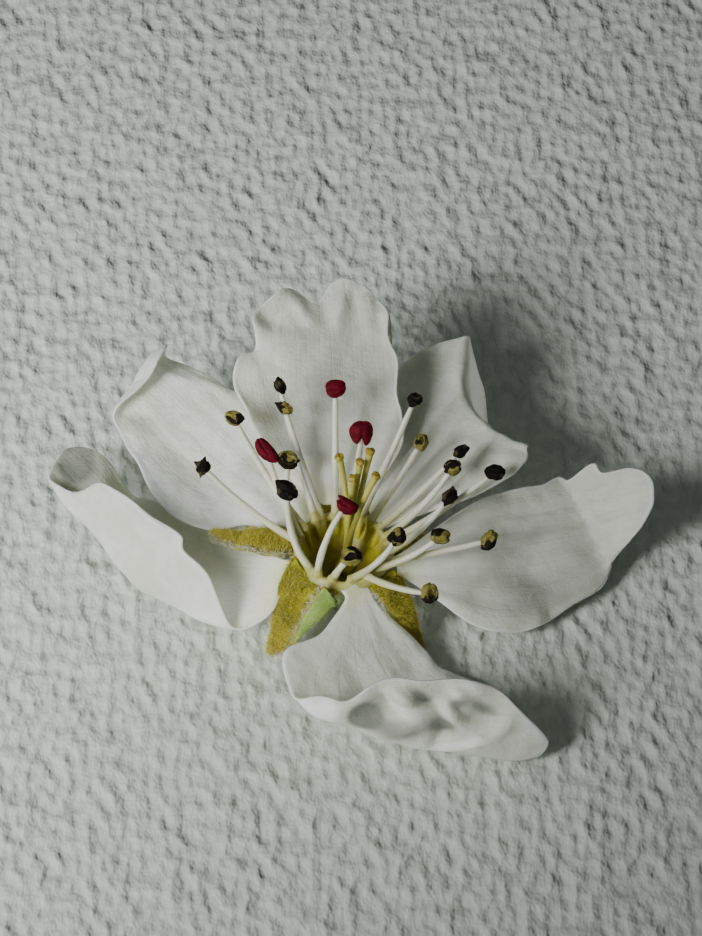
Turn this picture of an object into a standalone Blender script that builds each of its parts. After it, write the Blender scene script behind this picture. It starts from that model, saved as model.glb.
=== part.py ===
"""Pear blossom: six petals, six sepals, a cup on its cut stalk, 21 stamens and five styles.

Metres, +Z up. The origin is the centre of the stalk's cut face, on the surface that the
blossom lies on. +X is to the right and +Y away, as the blossom is seen from its front.
The sizes below are in millimetres, and MM turns them into metres.
"""

import math
from dataclasses import dataclass

import bmesh
import bpy
import numpy as np
from mathutils import Matrix, Vector

MM = 0.001

# Driving sizes, in millimetres
BLADE_THICKNESS = 0.6
RIM_HEIGHT = 4.3
RIM_RADIUS = 2.85
CUP_WALL = 0.42
CUP_FLOOR = 2.45
STALK_RADIUS = 0.95
RING_RADIUS = 2.4
RING_HEIGHT = 4.54
RING_TUBE = 0.17
FILAMENT_ROOT_RADIUS = 0.21
FILAMENT_TIP_RADIUS = 0.16
ANTHER_DEPTH = 0.6
ANTHER_GROOVE = 0.3
STYLE_RADIUS = 0.2
STIGMA_RADIUS = 0.31

# Seen from the front, the anthers lie across a line that rises at this many degrees
FRONT_RISE = 49.0

# Fineness of the meshes
PETAL_GRID = (17, 14)
SEPAL_GRID = (9, 6)
CUP_STEPS = 28
FILAMENT_STEPS = 6
FOLLOW_STEPS = 64


@dataclass(frozen=True)
class Bend:
    """A smooth bend of a flat sheet, past a line through (along, across) that may itself be bowed."""

    along: float
    across: float
    toward: float
    turn: float
    radius: float
    bow: float = 0.0


@dataclass(frozen=True)
class Blade:
    """A petal or sepal: a flat outline, bent, and set at its root on the cup."""

    name: str
    root: tuple
    azimuth: float
    pitch: float
    length: float
    left: float
    right: float
    bank: float = 0.0
    twist: float = 0.0
    bow: float = 0.0
    lean: float = 0.0
    start: float = 0.35
    claw: float = 0.5
    widest: float = 0.55
    neck: float = 0.7
    neck_right: float = 0.7
    end: float = 0.8
    taper: float = 2.0
    round: float = 0.16
    lobes: tuple = ()
    waves: tuple = ()
    bends: tuple = ()


@dataclass(frozen=True)
class Stamen:
    """A filament on the ring, seen by its chord and how it curves, with the size of its anther."""

    place: float
    heading: float
    rise: float
    chord: float
    curl: float
    swerve: float
    long: float
    wide: float
    turn: float


@dataclass(frozen=True)
class Style:
    """One style of the pistil, from its base to its stigma."""

    heading: float
    rise: float
    chord: float
    curl: float
    swerve: float


PETALS = (
    Blade(
        "petal_left_front", root=(-2.95, -1.0, 3.8), azimuth=147, pitch=-17, bank=-14, twist=20,
        length=15.7, left=7.5, right=2.6, widest=0.5, neck=0.5, neck_right=1.3, end=0.75, bow=1.3,
        lobes=((-85, -0.38, 38), (34, -0.20, 18), (120, 0.18, 26), (-36, -0.12, 12), (160, 0.11, 12)),
        bends=(Bend(7.7, 2.0, 80, 120, 1.1), Bend(2.5, 0.0, 0, 24, 10.0)),
    ),
    Blade(
        "petal_left_back", root=(-1.96, 2.03, 4.12), azimuth=131, pitch=6, bank=-9,
        length=15.35, left=4.65, right=3.15, neck=1.1, neck_right=0.9,
        lobes=((128, 0.42, 38), (-44, -0.20, 20), (152, -0.15, 13)),
        bends=(Bend(12.3, 1.5, 23, 140, 0.75), Bend(9.5, -1.7, -60, -38, 1.5), Bend(0.0, 1.2, 90, 20, 8.0)),
    ),
    Blade(
        "petal_back", root=(-0.1, 2.75, 4.55), azimuth=94, pitch=22,
        start=0.6, length=13.6, left=5.5, right=5.1, widest=0.6, neck=0.75, neck_right=0.75,
        lobes=((7, -0.23, 8), (57, -0.19, 9), (-58, -0.13, 30)),
        waves=((30, 0.5, 9), (-8, 0.5, 9), (75, -0.5, 12)),
        bends=(Bend(7.0, -2.7, -84, 62, 1.2), Bend(0.0, 1.6, 90, 25, 7.0), Bend(0.0, -1.6, -90, 25, 7.0)),
    ),
    Blade(
        "petal_right_back", root=(2.05, 1.85, 4.2), azimuth=53, pitch=12, bank=-8,
        length=13.6, left=5.2, right=5.0, widest=0.6, neck=0.8, neck_right=1.1,
        lobes=((20, 0.10, 11), (-42, -0.20, 24), (-72, -0.10, 9)),
        bends=(Bend(8.9, 1.1, -36, -82, 0.5, 0.19), Bend(0.0, 1.4, 90, 20, 8.0)),
    ),
    Blade(
        "petal_right", root=(2.95, -0.85, 3.9), azimuth=18.5, pitch=-8, bank=24,
        length=15.5, left=3.2, right=5.0, widest=0.5, neck=1.2, neck_right=0.95, lean=0.42,
        lobes=(
            (-62, -0.19, 32), (-20, -0.20, 15), (-135, 0.08, 20), (16, 0.14, 10), (36, 0.22, 5), (52, 0.12, 6),
        ),
        bends=(Bend(10.6, 0.8, 12, 52, 1.3), Bend(12.0, -2.4, -50, 70, 0.6)),
    ),
    Blade(
        "petal_front", root=(0.8, -2.8, 4.05), azimuth=-47, pitch=-29, bank=-12,
        length=14.9, left=3.1, right=7.4, widest=0.35, neck=1.8, end=0.5, bow=-2.2, claw=0.75,
        lobes=((-142, 0.22, 20), (-103, -0.12, 11), (75, 0.45, 24), (-35, 0.20, 18)),
        bends=(Bend(10.4, 0.4, -54, 115, 1.2), Bend(3.0, 0.0, 0, 20, 12.0)),
    ),
)

SEPAL_SHAPE = {"start": 0.0, "widest": 0.05, "end": 0.12, "taper": 1.2, "round": 0.0}

SEPALS = (
    Blade(
        "sepal_left", root=(-3.05, 0.37, 4.22), azimuth=173.5, pitch=1, length=4.1,
        claw=0.8, left=1.2, right=1.0, bends=(Bend(0.0, 0.0, 90, 30, 1.6), Bend(0.0, 0.0, -90, 30, 1.6)),
        **SEPAL_SHAPE,
    ),
    Blade(
        "sepal_front_left", root=(-1.85, -2.3, 3.95), azimuth=231, pitch=-28, length=4.3,
        claw=1.2, left=1.9, right=1.3, bends=(Bend(0.0, 0.4, 86, 95, 0.75), Bend(0.8, 0.0, 0, -25, 6.0)),
        **SEPAL_SHAPE,
    ),
    Blade(
        "sepal_front_right", root=(2.3, -2.15, 3.8), azimuth=-45, pitch=-44, length=4.4,
        claw=0.85, left=1.1, right=0.9, bends=(Bend(0.8, 0.0, 0, -15, 6.0), Bend(0.0, 0.3, 90, 20, 1.6)),
        **SEPAL_SHAPE,
    ),
    Blade(
        "sepal_right", root=(3.1, 0.75, 3.4), azimuth=14, pitch=-24, length=5.2,
        claw=0.9, left=1.3, right=1.3, bends=(Bend(0.8, 0.0, 0, -20, 6.0),), **SEPAL_SHAPE,
    ),
    Blade(
        "sepal_back_right", root=(1.15, 2.8, 3.5), azimuth=67, pitch=-21, length=5.8,
        claw=0.9, left=1.4, right=1.4, bends=(Bend(0.8, 0.0, 0, -20, 6.0),), **SEPAL_SHAPE,
    ),
    Blade(
        "sepal_back_left", root=(-1.15, 2.8, 3.5), azimuth=113, pitch=-21, length=5.8,
        claw=0.9, left=1.4, right=1.4, bends=(Bend(0.8, 0.0, 0, -20, 6.0),), **SEPAL_SHAPE,
    ),
)

STAMENS = (
    Stamen(128, 111, 43, 7.6, 20, 0, 0.85, 0.60, -50),
    Stamen(120, 116, 44, 6.3, 15, 0, 0.95, 0.70, -30),
    Stamen(150, 132, 37, 7.2, 30, 0, 1.00, 0.75, -20),
    Stamen(165, 123, 49, 5.2, 30, 0, 1.80, 0.75, -50),
    Stamen(195, 100, 42, 5.2, 50, -40, 1.20, 1.00, -20),
    Stamen(175, 153, 29, 6.7, 30, 0, 0.90, 0.70, 60),
    Stamen(222, 116, 51, 4.5, 50, -50, 1.20, 1.00, -25),
    Stamen(100, 90, 50, 6.9, 10, 0, 1.15, 0.95, 10),
    Stamen(80, 73, 63, 4.8, 0, 0, 1.40, 1.25, 85),
    Stamen(235, 52, 52, 4.2, -45, -20, 1.45, 0.80, -35),
    Stamen(257, 21, 54, 1.8, -20, 0, 1.25, 1.00, 0),
    Stamen(280, 25, 38, 3.5, 50, 20, 1.10, 0.90, 50),
    Stamen(318, 8, 31, 4.1, 35, 10, 1.10, 0.90, -10),
    Stamen(330, 5, 12, 6.0, 8, 0, 1.15, 0.80, 60),
    Stamen(300, -30, 12, 4.1, -10, 35, 1.15, 0.95, 80),
    Stamen(345, 32, 29, 4.7, 30, 15, 0.85, 0.70, 30),
    Stamen(15, 35, 32, 5.3, 30, 10, 1.00, 0.80, 10),
    Stamen(33, 33, 30, 6.1, 15, 0, 0.90, 0.60, 25),
    Stamen(3, 26, 22, 7.1, 15, 0, 1.10, 0.75, -5),
    Stamen(50, 46, 39, 5.1, 15, 0, 0.95, 0.75, 80),
    Stamen(65, 56, 42, 7.0, 10, 0, 0.80, 0.70, -30),
)

STYLES = (
    Style(98, 71, 6.7, 0, 60),
    Style(60, 67, 7.1, 0, 0),
    Style(66, 72, 6.6, 0, 0),
    Style(69, 78, 5.9, 0, 0),
    Style(34, 71, 6.3, -25, 0),
)
PISTIL_FOOT = (0.1, 0.1, 2.95)


def smooth(values, low=0.0, high=1.0):
    """Rise from 0 to 1 between low and high, level at both ends."""
    part = np.clip((values - low) / (high - low), 0.0, 1.0)
    return part * part * (3.0 - 2.0 * part)


def flat_outline(blade, along, across):
    """Place grid values (along 0 to 1, across -1 to 1) on the blade's flat outline, in mm."""
    along = (blade.start + (blade.length - blade.start) * along) / blade.length
    neck = np.where(across > 0.0, blade.neck, blade.neck_right)
    rise = np.sin(np.pi / 2 * np.clip(along / blade.widest, 0.0, 1.0)) ** neck
    past = np.clip((along - blade.widest) / (1.0 - blade.widest), 0.0, 1.0)
    widest = np.where(across > 0.0, blade.left, blade.right)
    half_width = (blade.claw + (widest - blade.claw) * rise) * (1.0 - (1.0 - blade.end) * past**blade.taper)
    side = across * half_width
    out = blade.length * (along - blade.round * across**2 * along**3) + blade.lean * side * along**2
    middle = 0.5 * blade.length
    bearing = np.degrees(np.arctan2(side, out - middle))
    edge = 1.0 - (1.0 - along**5) * (1.0 - np.abs(across) ** 5)
    scale = np.ones_like(out)
    for at, depth, width in blade.lobes:
        scale += depth * np.exp(-(((bearing - at) / width) ** 2)) * edge
    height = np.zeros_like(out)
    for at, lift, width in blade.waves:
        height += lift * np.exp(-(((bearing - at) / width) ** 2)) * smooth(edge, 0.05, 1.0)
    return np.stack([middle + (out - middle) * scale, side * scale, height], axis=-1)


def bent(points, bend):
    """Wrap what lies past the bend's line round an arc whose curvature comes and goes smoothly."""
    angle = math.radians(bend.toward)
    ahead = np.array([math.cos(angle), math.sin(angle)])
    beside = np.array([-math.sin(angle), math.cos(angle)])
    start = np.array([bend.along, bend.across])
    offset = points[:, :2] - start
    distance = offset @ ahead - 0.5 * bend.bow * (offset @ beside) ** 2
    straight = offset @ ahead - distance
    height = points[:, 2]
    total = math.radians(bend.turn)
    length = abs(total) * bend.radius
    part = np.linspace(0.0, 1.0, FOLLOW_STEPS + 1)
    turned = total * (part - np.sin(2 * np.pi * part) / (2 * np.pi))
    middle = (turned[1:] + turned[:-1]) / 2
    forward = np.concatenate([[0.0], np.cumsum(np.cos(middle))]) * length / FOLLOW_STEPS
    upward = np.concatenate([[0.0], np.cumsum(np.sin(middle))]) * length / FOLLOW_STEPS
    reached = np.clip(distance / length, 0.0, 1.0)
    heading = np.interp(reached, part, turned)
    beyond = np.clip(distance - length, 0.0, None)
    out = np.interp(reached, part, forward) + beyond * np.cos(heading) - height * np.sin(heading)
    up = np.interp(reached, part, upward) + beyond * np.sin(heading) + height * np.cos(heading)
    out = np.where(distance <= 0.0, distance, out)
    up = np.where(distance <= 0.0, height, up)
    plan = start + np.outer(out + straight, ahead) + np.outer(offset @ beside, beside)
    return np.column_stack([plan, up])


def placed(points, blade):
    """Bow, twist, bank and pitch the bent sheet, turn it to its azimuth and set it at its root."""
    part = np.clip(points[:, 0] / blade.length, 0.0, 1.0)
    side = points[:, 1] + blade.bow * 4.0 * part * (1.0 - part)
    bank = np.radians(blade.bank + blade.twist * smooth(part))
    across = side * np.cos(bank) - points[:, 2] * np.sin(bank)
    up = side * np.sin(bank) + points[:, 2] * np.cos(bank)
    turn = Matrix.Rotation(math.radians(blade.azimuth), 3, "Z") @ Matrix.Rotation(
        math.radians(-blade.pitch), 3, "Y"
    )
    local = np.column_stack([points[:, 0], across, up])
    return local @ np.array(turn).T + np.array(blade.root)


def apply_modifiers(thing):
    """Make the object's evaluated mesh its own."""
    mesh = bpy.data.meshes.new_from_object(thing.evaluated_get(bpy.context.evaluated_depsgraph_get()))
    old = thing.data
    thing.modifiers.clear()
    thing.data = mesh
    mesh.name = thing.name
    bpy.data.meshes.remove(old)


def new_object(name, mesh, material, collection):
    """Link a mesh as an object with its material."""
    thing = bpy.data.objects.new(name, mesh)
    collection.objects.link(thing)
    if not mesh.materials:
        mesh.materials.append(material)
    return thing


def make_blade(blade, grid, thickness, material, collection):
    """Model one petal or sepal: a shaped grid of triangles with Solidify."""
    steps_along, steps_across = grid
    bm = bmesh.new()
    bmesh.ops.create_grid(bm, x_segments=steps_along, y_segments=steps_across, size=1.0)
    places = np.array([vertex.co[:2] for vertex in bm.verts])
    points = flat_outline(blade, (places[:, 0] + 1.0) / 2.0, places[:, 1])
    for bend in blade.bends:
        points = bent(points, bend)
    for vertex, point in zip(bm.verts, placed(points, blade)):
        vertex.co = Vector(point * MM)
    bmesh.ops.triangulate(bm, faces=bm.faces)
    mesh = bpy.data.meshes.new(blade.name)
    bm.to_mesh(mesh)
    bm.free()
    thing = new_object(blade.name, mesh, material, collection)
    solidify = thing.modifiers.new("Thickness", "SOLIDIFY")
    solidify.thickness = thickness * MM
    solidify.offset = 0.0
    thing.data.shade_smooth()
    return thing


def direction(heading, rise):
    """Unit vector toward a heading, from +X, that rises by so many degrees."""
    flat, up = math.radians(heading), math.radians(rise)
    return np.array([math.cos(flat) * math.cos(up), math.sin(flat) * math.cos(up), math.sin(up)])


def curved_path(start, limb, steps):
    """Points from start to the end of the limb's chord, along its curve."""
    parts = (np.arange(steps) + 0.5) / steps - 0.5
    legs = [direction(limb.heading + limb.swerve * part, limb.rise + limb.curl * part) for part in parts]
    path = np.vstack([np.zeros(3), np.cumsum(legs, axis=0)]) * limb.chord / steps
    miss = direction(limb.heading, limb.rise) * limb.chord - path[-1]
    return start + path + np.outer(np.linspace(0.0, 1.0, steps + 1), miss)


def make_rod(path, radii, material, collection):
    """A round rod of six sides along a path, from a bevelled curve."""
    curve = bpy.data.curves.new("rod", "CURVE")
    curve.dimensions = "3D"
    curve.bevel_depth = MM
    curve.bevel_resolution = 1
    curve.use_fill_caps = True
    spline = curve.splines.new("POLY")
    spline.points.add(len(path) - 1)
    for point, place, radius in zip(spline.points, path, radii):
        point.co = (*(place * MM), 1.0)
        point.radius = radius
    guide = bpy.data.objects.new("rod_guide", curve)
    collection.objects.link(guide)
    mesh = bpy.data.meshes.new_from_object(guide.evaluated_get(bpy.context.evaluated_depsgraph_get()))
    bpy.data.objects.remove(guide)
    bm = bmesh.new()
    bm.from_mesh(mesh)
    bmesh.ops.remove_doubles(bm, verts=bm.verts, dist=1e-6)
    bmesh.ops.recalc_face_normals(bm, faces=bm.faces)
    bm.to_mesh(mesh)
    bm.free()
    return new_object("rod", mesh, material, collection)


def make_ball(place, axes, detail, groove, material, collection):
    """An ico sphere stretched along its three axes, with a lengthwise groove if it has two lobes."""
    bm = bmesh.new()
    bmesh.ops.create_icosphere(bm, subdivisions=detail, radius=1.0)
    frame = np.array(axes)
    for vertex in bm.verts:
        furrow = 1.0 - groove * math.exp(-((vertex.co.y / 0.35) ** 2))
        local = np.array([vertex.co.x * (2.0 + furrow) / 3.0, vertex.co.y, vertex.co.z * furrow])
        vertex.co = Vector((place + local @ frame) * MM)
    mesh = bpy.data.meshes.new("ball")
    bm.to_mesh(mesh)
    bm.free()
    return new_object("ball", mesh, material, collection)


def fuse(body, repeats):
    """Join a collection's solids to a body by one Boolean union, and remove the collection."""
    union = body.modifiers.new("Union", "BOOLEAN")
    union.operation = "UNION"
    union.operand_type = "COLLECTION"
    union.collection = repeats
    union.solver = "MANIFOLD"
    apply_modifiers(body)
    for thing in list(repeats.objects):
        bpy.data.objects.remove(thing)
    bpy.data.collections.remove(repeats)
    return body


def make_cup(material, collection):
    """Turn the cup and the stub of its stalk from one profile, with the hollow inside."""
    rim = RIM_RADIUS - CUP_WALL / 2
    profile = (
        (0.0, CUP_FLOOR), (0.7, CUP_FLOOR), (1.3, CUP_FLOOR + 0.12), (1.9, CUP_FLOOR + 0.65),
        (2.3, RIM_HEIGHT - 0.75), (RIM_RADIUS - CUP_WALL, RIM_HEIGHT - 0.15), (rim, RIM_HEIGHT),
        (RIM_RADIUS, RIM_HEIGHT - 0.15), (2.7, RIM_HEIGHT - 0.8), (2.25, RIM_HEIGHT - 1.7),
        (1.85, 1.8), (1.5, 0.95), (1.1, 0.45), (STALK_RADIUS, 0.0), (0.0, 0.0),
    )
    bm = bmesh.new()
    verts = [bm.verts.new((radius * MM, 0.0, height * MM)) for radius, height in profile]
    for first, second in zip(verts, verts[1:]):
        bm.edges.new((first, second))
    mesh = bpy.data.meshes.new("calyx_cup")
    bm.to_mesh(mesh)
    bm.free()
    cup = new_object("calyx_cup", mesh, material, collection)
    turn = cup.modifiers.new("Turn", "SCREW")
    turn.steps = CUP_STEPS
    turn.render_steps = CUP_STEPS
    turn.use_merge_vertices = True
    turn.merge_threshold = 1e-6
    apply_modifiers(cup)
    cup.data.shade_smooth()
    return cup


def make_stamens(material, collection):
    """Fuse the filaments and anthers to the ring that they grow from."""
    bpy.ops.mesh.primitive_torus_add(
        major_segments=CUP_STEPS, minor_segments=6, major_radius=RING_RADIUS * MM, minor_radius=RING_TUBE * MM
    )
    ring = bpy.context.object
    mesh = ring.data
    mesh.transform(Matrix.Translation((0.0, 0.0, RING_HEIGHT * MM)))
    bpy.data.objects.remove(ring)
    stamens = new_object("stamens", mesh, material, collection)
    repeats = new_collection("stamen_repeats")
    radii = np.linspace(FILAMENT_ROOT_RADIUS, FILAMENT_TIP_RADIUS, FILAMENT_STEPS + 1)
    across = np.array([1.0, 0.0, 0.0])
    upward = np.array(direction(90.0, 90.0 - FRONT_RISE))
    facing = np.cross(across, upward)
    for stamen in STAMENS:
        start = direction(stamen.place, 0.0) * RING_RADIUS + np.array([0.0, 0.0, RING_HEIGHT])
        path = curved_path(start, stamen, FILAMENT_STEPS)
        make_rod(path, radii, material, repeats)
        turn = math.radians(stamen.turn)
        lengthwise = across * math.cos(turn) + upward * math.sin(turn)
        crosswise = upward * math.cos(turn) - across * math.sin(turn)
        axes = (lengthwise * stamen.long / 2, crosswise * stamen.wide / 2, facing * ANTHER_DEPTH / 2)
        make_ball(path[-1], axes, 2, ANTHER_GROOVE, material, repeats)
    return fuse(stamens, repeats)


def make_pistil(material, collection):
    """Fuse the five styles and their stigmas to the base on the cup's floor."""
    foot = np.array(PISTIL_FOOT)
    base = make_ball(foot, np.diag([0.7, 0.7, 0.38]), 2, 0.0, material, collection)
    base.name = "pistil"
    repeats = new_collection("pistil_repeats")
    for style in STYLES:
        path = curved_path(foot, style, FILAMENT_STEPS - 2)
        make_rod(path, [STYLE_RADIUS] * len(path), material, repeats)
        make_ball(path[-1], np.identity(3) * STIGMA_RADIUS, 1, 0.0, material, repeats)
    return fuse(base, repeats)


def make_material(name, colour, roughness):
    """A Principled finish."""
    material = bpy.data.materials.new(name)
    material.use_nodes = True
    shader = material.node_tree.nodes["Principled BSDF"]
    shader.inputs["Base Color"].default_value = (*colour, 1.0)
    shader.inputs["Roughness"].default_value = roughness
    shader.inputs["Metallic"].default_value = 0.0
    return material


def new_collection(name):
    """A collection in the scene."""
    collection = bpy.data.collections.new(name)
    bpy.context.scene.collection.children.link(collection)
    return collection


def main():
    """Build the whole blossom."""
    for thing in list(bpy.data.objects):
        bpy.data.objects.remove(thing)
    blossom = new_collection("pear_blossom")
    white = make_material("petal_white", (0.72, 0.73, 0.68), 0.5)
    olive = make_material("sepal_olive", (0.35, 0.30, 0.05), 0.8)
    green = make_material("cup_yellow_green", (0.40, 0.36, 0.08), 0.6)
    cream = make_material("stamen_cream", (0.70, 0.66, 0.50), 0.5)
    yellow = make_material("pistil_yellow_green", (0.45, 0.42, 0.15), 0.5)
    for petal in PETALS:
        make_blade(petal, PETAL_GRID, BLADE_THICKNESS, white, blossom)
    for sepal in SEPALS:
        make_blade(sepal, SEPAL_GRID, BLADE_THICKNESS, olive, blossom)
    make_cup(green, blossom)
    make_stamens(cream, blossom)
    make_pistil(yellow, blossom)


if __name__ == "__main__":
    main()
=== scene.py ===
"""Pear blossom on a pale surface: its fine pieces, their finishes, the studio and the camera.

Sizes of the blossom are in millimetres here, and MM turns them into metres. Angles are in
degrees. +Z is up, +X is to the right and +Y away, as the blossom is seen from its front.
"""

import logging
import math
from dataclasses import dataclass
from enum import Enum, IntEnum

import bpy
import numpy as np
from mathutils import Matrix, Vector

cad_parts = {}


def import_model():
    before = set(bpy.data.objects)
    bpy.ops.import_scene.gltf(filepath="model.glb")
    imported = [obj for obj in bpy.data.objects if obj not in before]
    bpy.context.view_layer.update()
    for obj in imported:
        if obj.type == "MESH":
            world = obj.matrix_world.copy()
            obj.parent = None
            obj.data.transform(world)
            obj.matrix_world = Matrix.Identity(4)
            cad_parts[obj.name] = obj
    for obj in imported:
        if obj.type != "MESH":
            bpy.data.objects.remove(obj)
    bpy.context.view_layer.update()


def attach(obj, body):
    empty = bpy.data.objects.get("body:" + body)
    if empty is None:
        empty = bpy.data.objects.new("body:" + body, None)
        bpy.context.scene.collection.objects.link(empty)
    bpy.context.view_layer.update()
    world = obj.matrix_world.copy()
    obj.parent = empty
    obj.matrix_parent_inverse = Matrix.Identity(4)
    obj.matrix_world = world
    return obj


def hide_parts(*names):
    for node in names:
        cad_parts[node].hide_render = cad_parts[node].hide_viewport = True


LOG = logging.getLogger("pear_blossom")

MM = 0.001
BODY = "root"
UV_MAP = "blade"
FRONT_RISE = 49.0

RIM_HEIGHT = 4.3
RIM_RADIUS = 2.85
CUP_WALL = 0.42
CUP_FLOOR = 2.45
STALK_RADIUS = 0.95
RING_RADIUS = 2.4
RING_HEIGHT = 4.54

FOLD_STEPS = 128
FILAMENT_STEPS = 26
ROD_BEVEL_STEPS = 5
WELD = 1e-6
SEPAL_SEED = 11

Colour = tuple[float, float, float]


class AntherKind(Enum):
    """How ripe an anther is."""

    CLOSED = "closed"
    OPEN = "open"
    SPENT = "spent"


class Draw(IntEnum):
    """The first seed of each kind of small shape. A stamen's or stigma's number is added to it."""

    CLOSED_LUMPS = 200
    CLOSED_GRAIN = 260
    HOLLOW_EDGE = 300
    OPEN_LUMPS = 330
    OPEN_GRAIN = 360
    SPENT_LUMPS = 400
    SPENT_GRAIN = 430
    SPENT_OLIVE = 460
    STAIN = 500
    LIP = 530
    BURN = 560
    STIGMA = 600
    HOLLOW_PLACE = 700


@dataclass(frozen=True)
class Bend:
    """A smooth bend of a flat sheet, past a line through (along, across) that may curve by bow."""

    along: float
    across: float
    toward: float
    turn: float
    radius: float
    bow: float = 0.0


@dataclass(frozen=True)
class Swell:
    """A long low ridge, or a patch of painted shade, on a flat sheet; below 0 a furrow, or a patch of
    painted light.
    """

    along: float
    across: float
    lift: float
    long: float
    wide: float
    heading: float = 0.0


@dataclass(frozen=True)
class Blade:
    """A petal or sepal: a flat outline, bent, and set at its root on the cup."""

    name: str
    root: tuple[float, float, float]
    azimuth: float
    pitch: float
    length: float
    left: float
    right: float
    bank: float = 0.0
    twist: float = 0.0
    bow: float = 0.0
    lean: float = 0.0
    start: float = 0.0
    claw: float = 0.5
    widest: float = 0.55
    neck: float = 0.7
    neck_right: float = 0.7
    end: float = 0.8
    taper: float = 2.0
    round: float = 0.16
    lobes: tuple[tuple[float, float, float], ...] = ()
    waves: tuple[tuple[float, float, float], ...] = ()
    bends: tuple[Bend, ...] = ()


@dataclass(frozen=True)
class Relief:
    """A petal's small waves and dents, in millimetres, its patches of painted shade and painted light,
    and its painted shade as a whole.
    """

    seed: int
    ruffle: float = 0.09
    ruffles: float = 11.0
    pleat: float = 0.02
    pleats: float = 6.0
    dent: float = 0.11
    dent_size: float = 2.4
    wrinkle: float = 0.018
    wrinkle_size: float = 0.55
    swells: tuple[Swell, ...] = ()
    # Tone patches: painted shade above 0 and painted light below 0, kept in the tone attribute.
    painted_light_and_shade: tuple[Swell, ...] = ()
    # light: the whole petal's painted shade, a factor on its colours, set petal by petal.
    light: float = 0.8


@dataclass(frozen=True)
class Limb:
    """A filament or style, seen by its chord and by how far it curves up and swerves."""

    heading: float
    rise: float
    chord: float
    curl: float
    swerve: float


@dataclass(frozen=True)
class Anther:
    """An anther's size across the line of sight, and its ripeness."""

    kind: AntherKind
    long: float
    wide: float
    turn: float
    tint: float = 0.6
    kidney: float = 0.0
    split: float = 0.0
    knobs: tuple[tuple[float, float], ...] = ()
    hollow: float = 1.0
    burnt: float | None = None


@dataclass(frozen=True)
class Stamen:
    """A filament at its place on the ring, with its anther."""

    place: float
    filament: Limb
    anther: Anther

    def path(self, steps: int) -> np.ndarray:
        """The filament's middle line, in millimetres, from the ring to the anther."""
        start = direction(self.place, 0.0) * RING_RADIUS + np.array([0.0, 0.0, RING_HEIGHT])
        return curved_path(start, self.filament, steps)


# Each petal's relief holds its painted shade as a whole (light) and its tone patches of painted shade and
# painted light.
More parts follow.
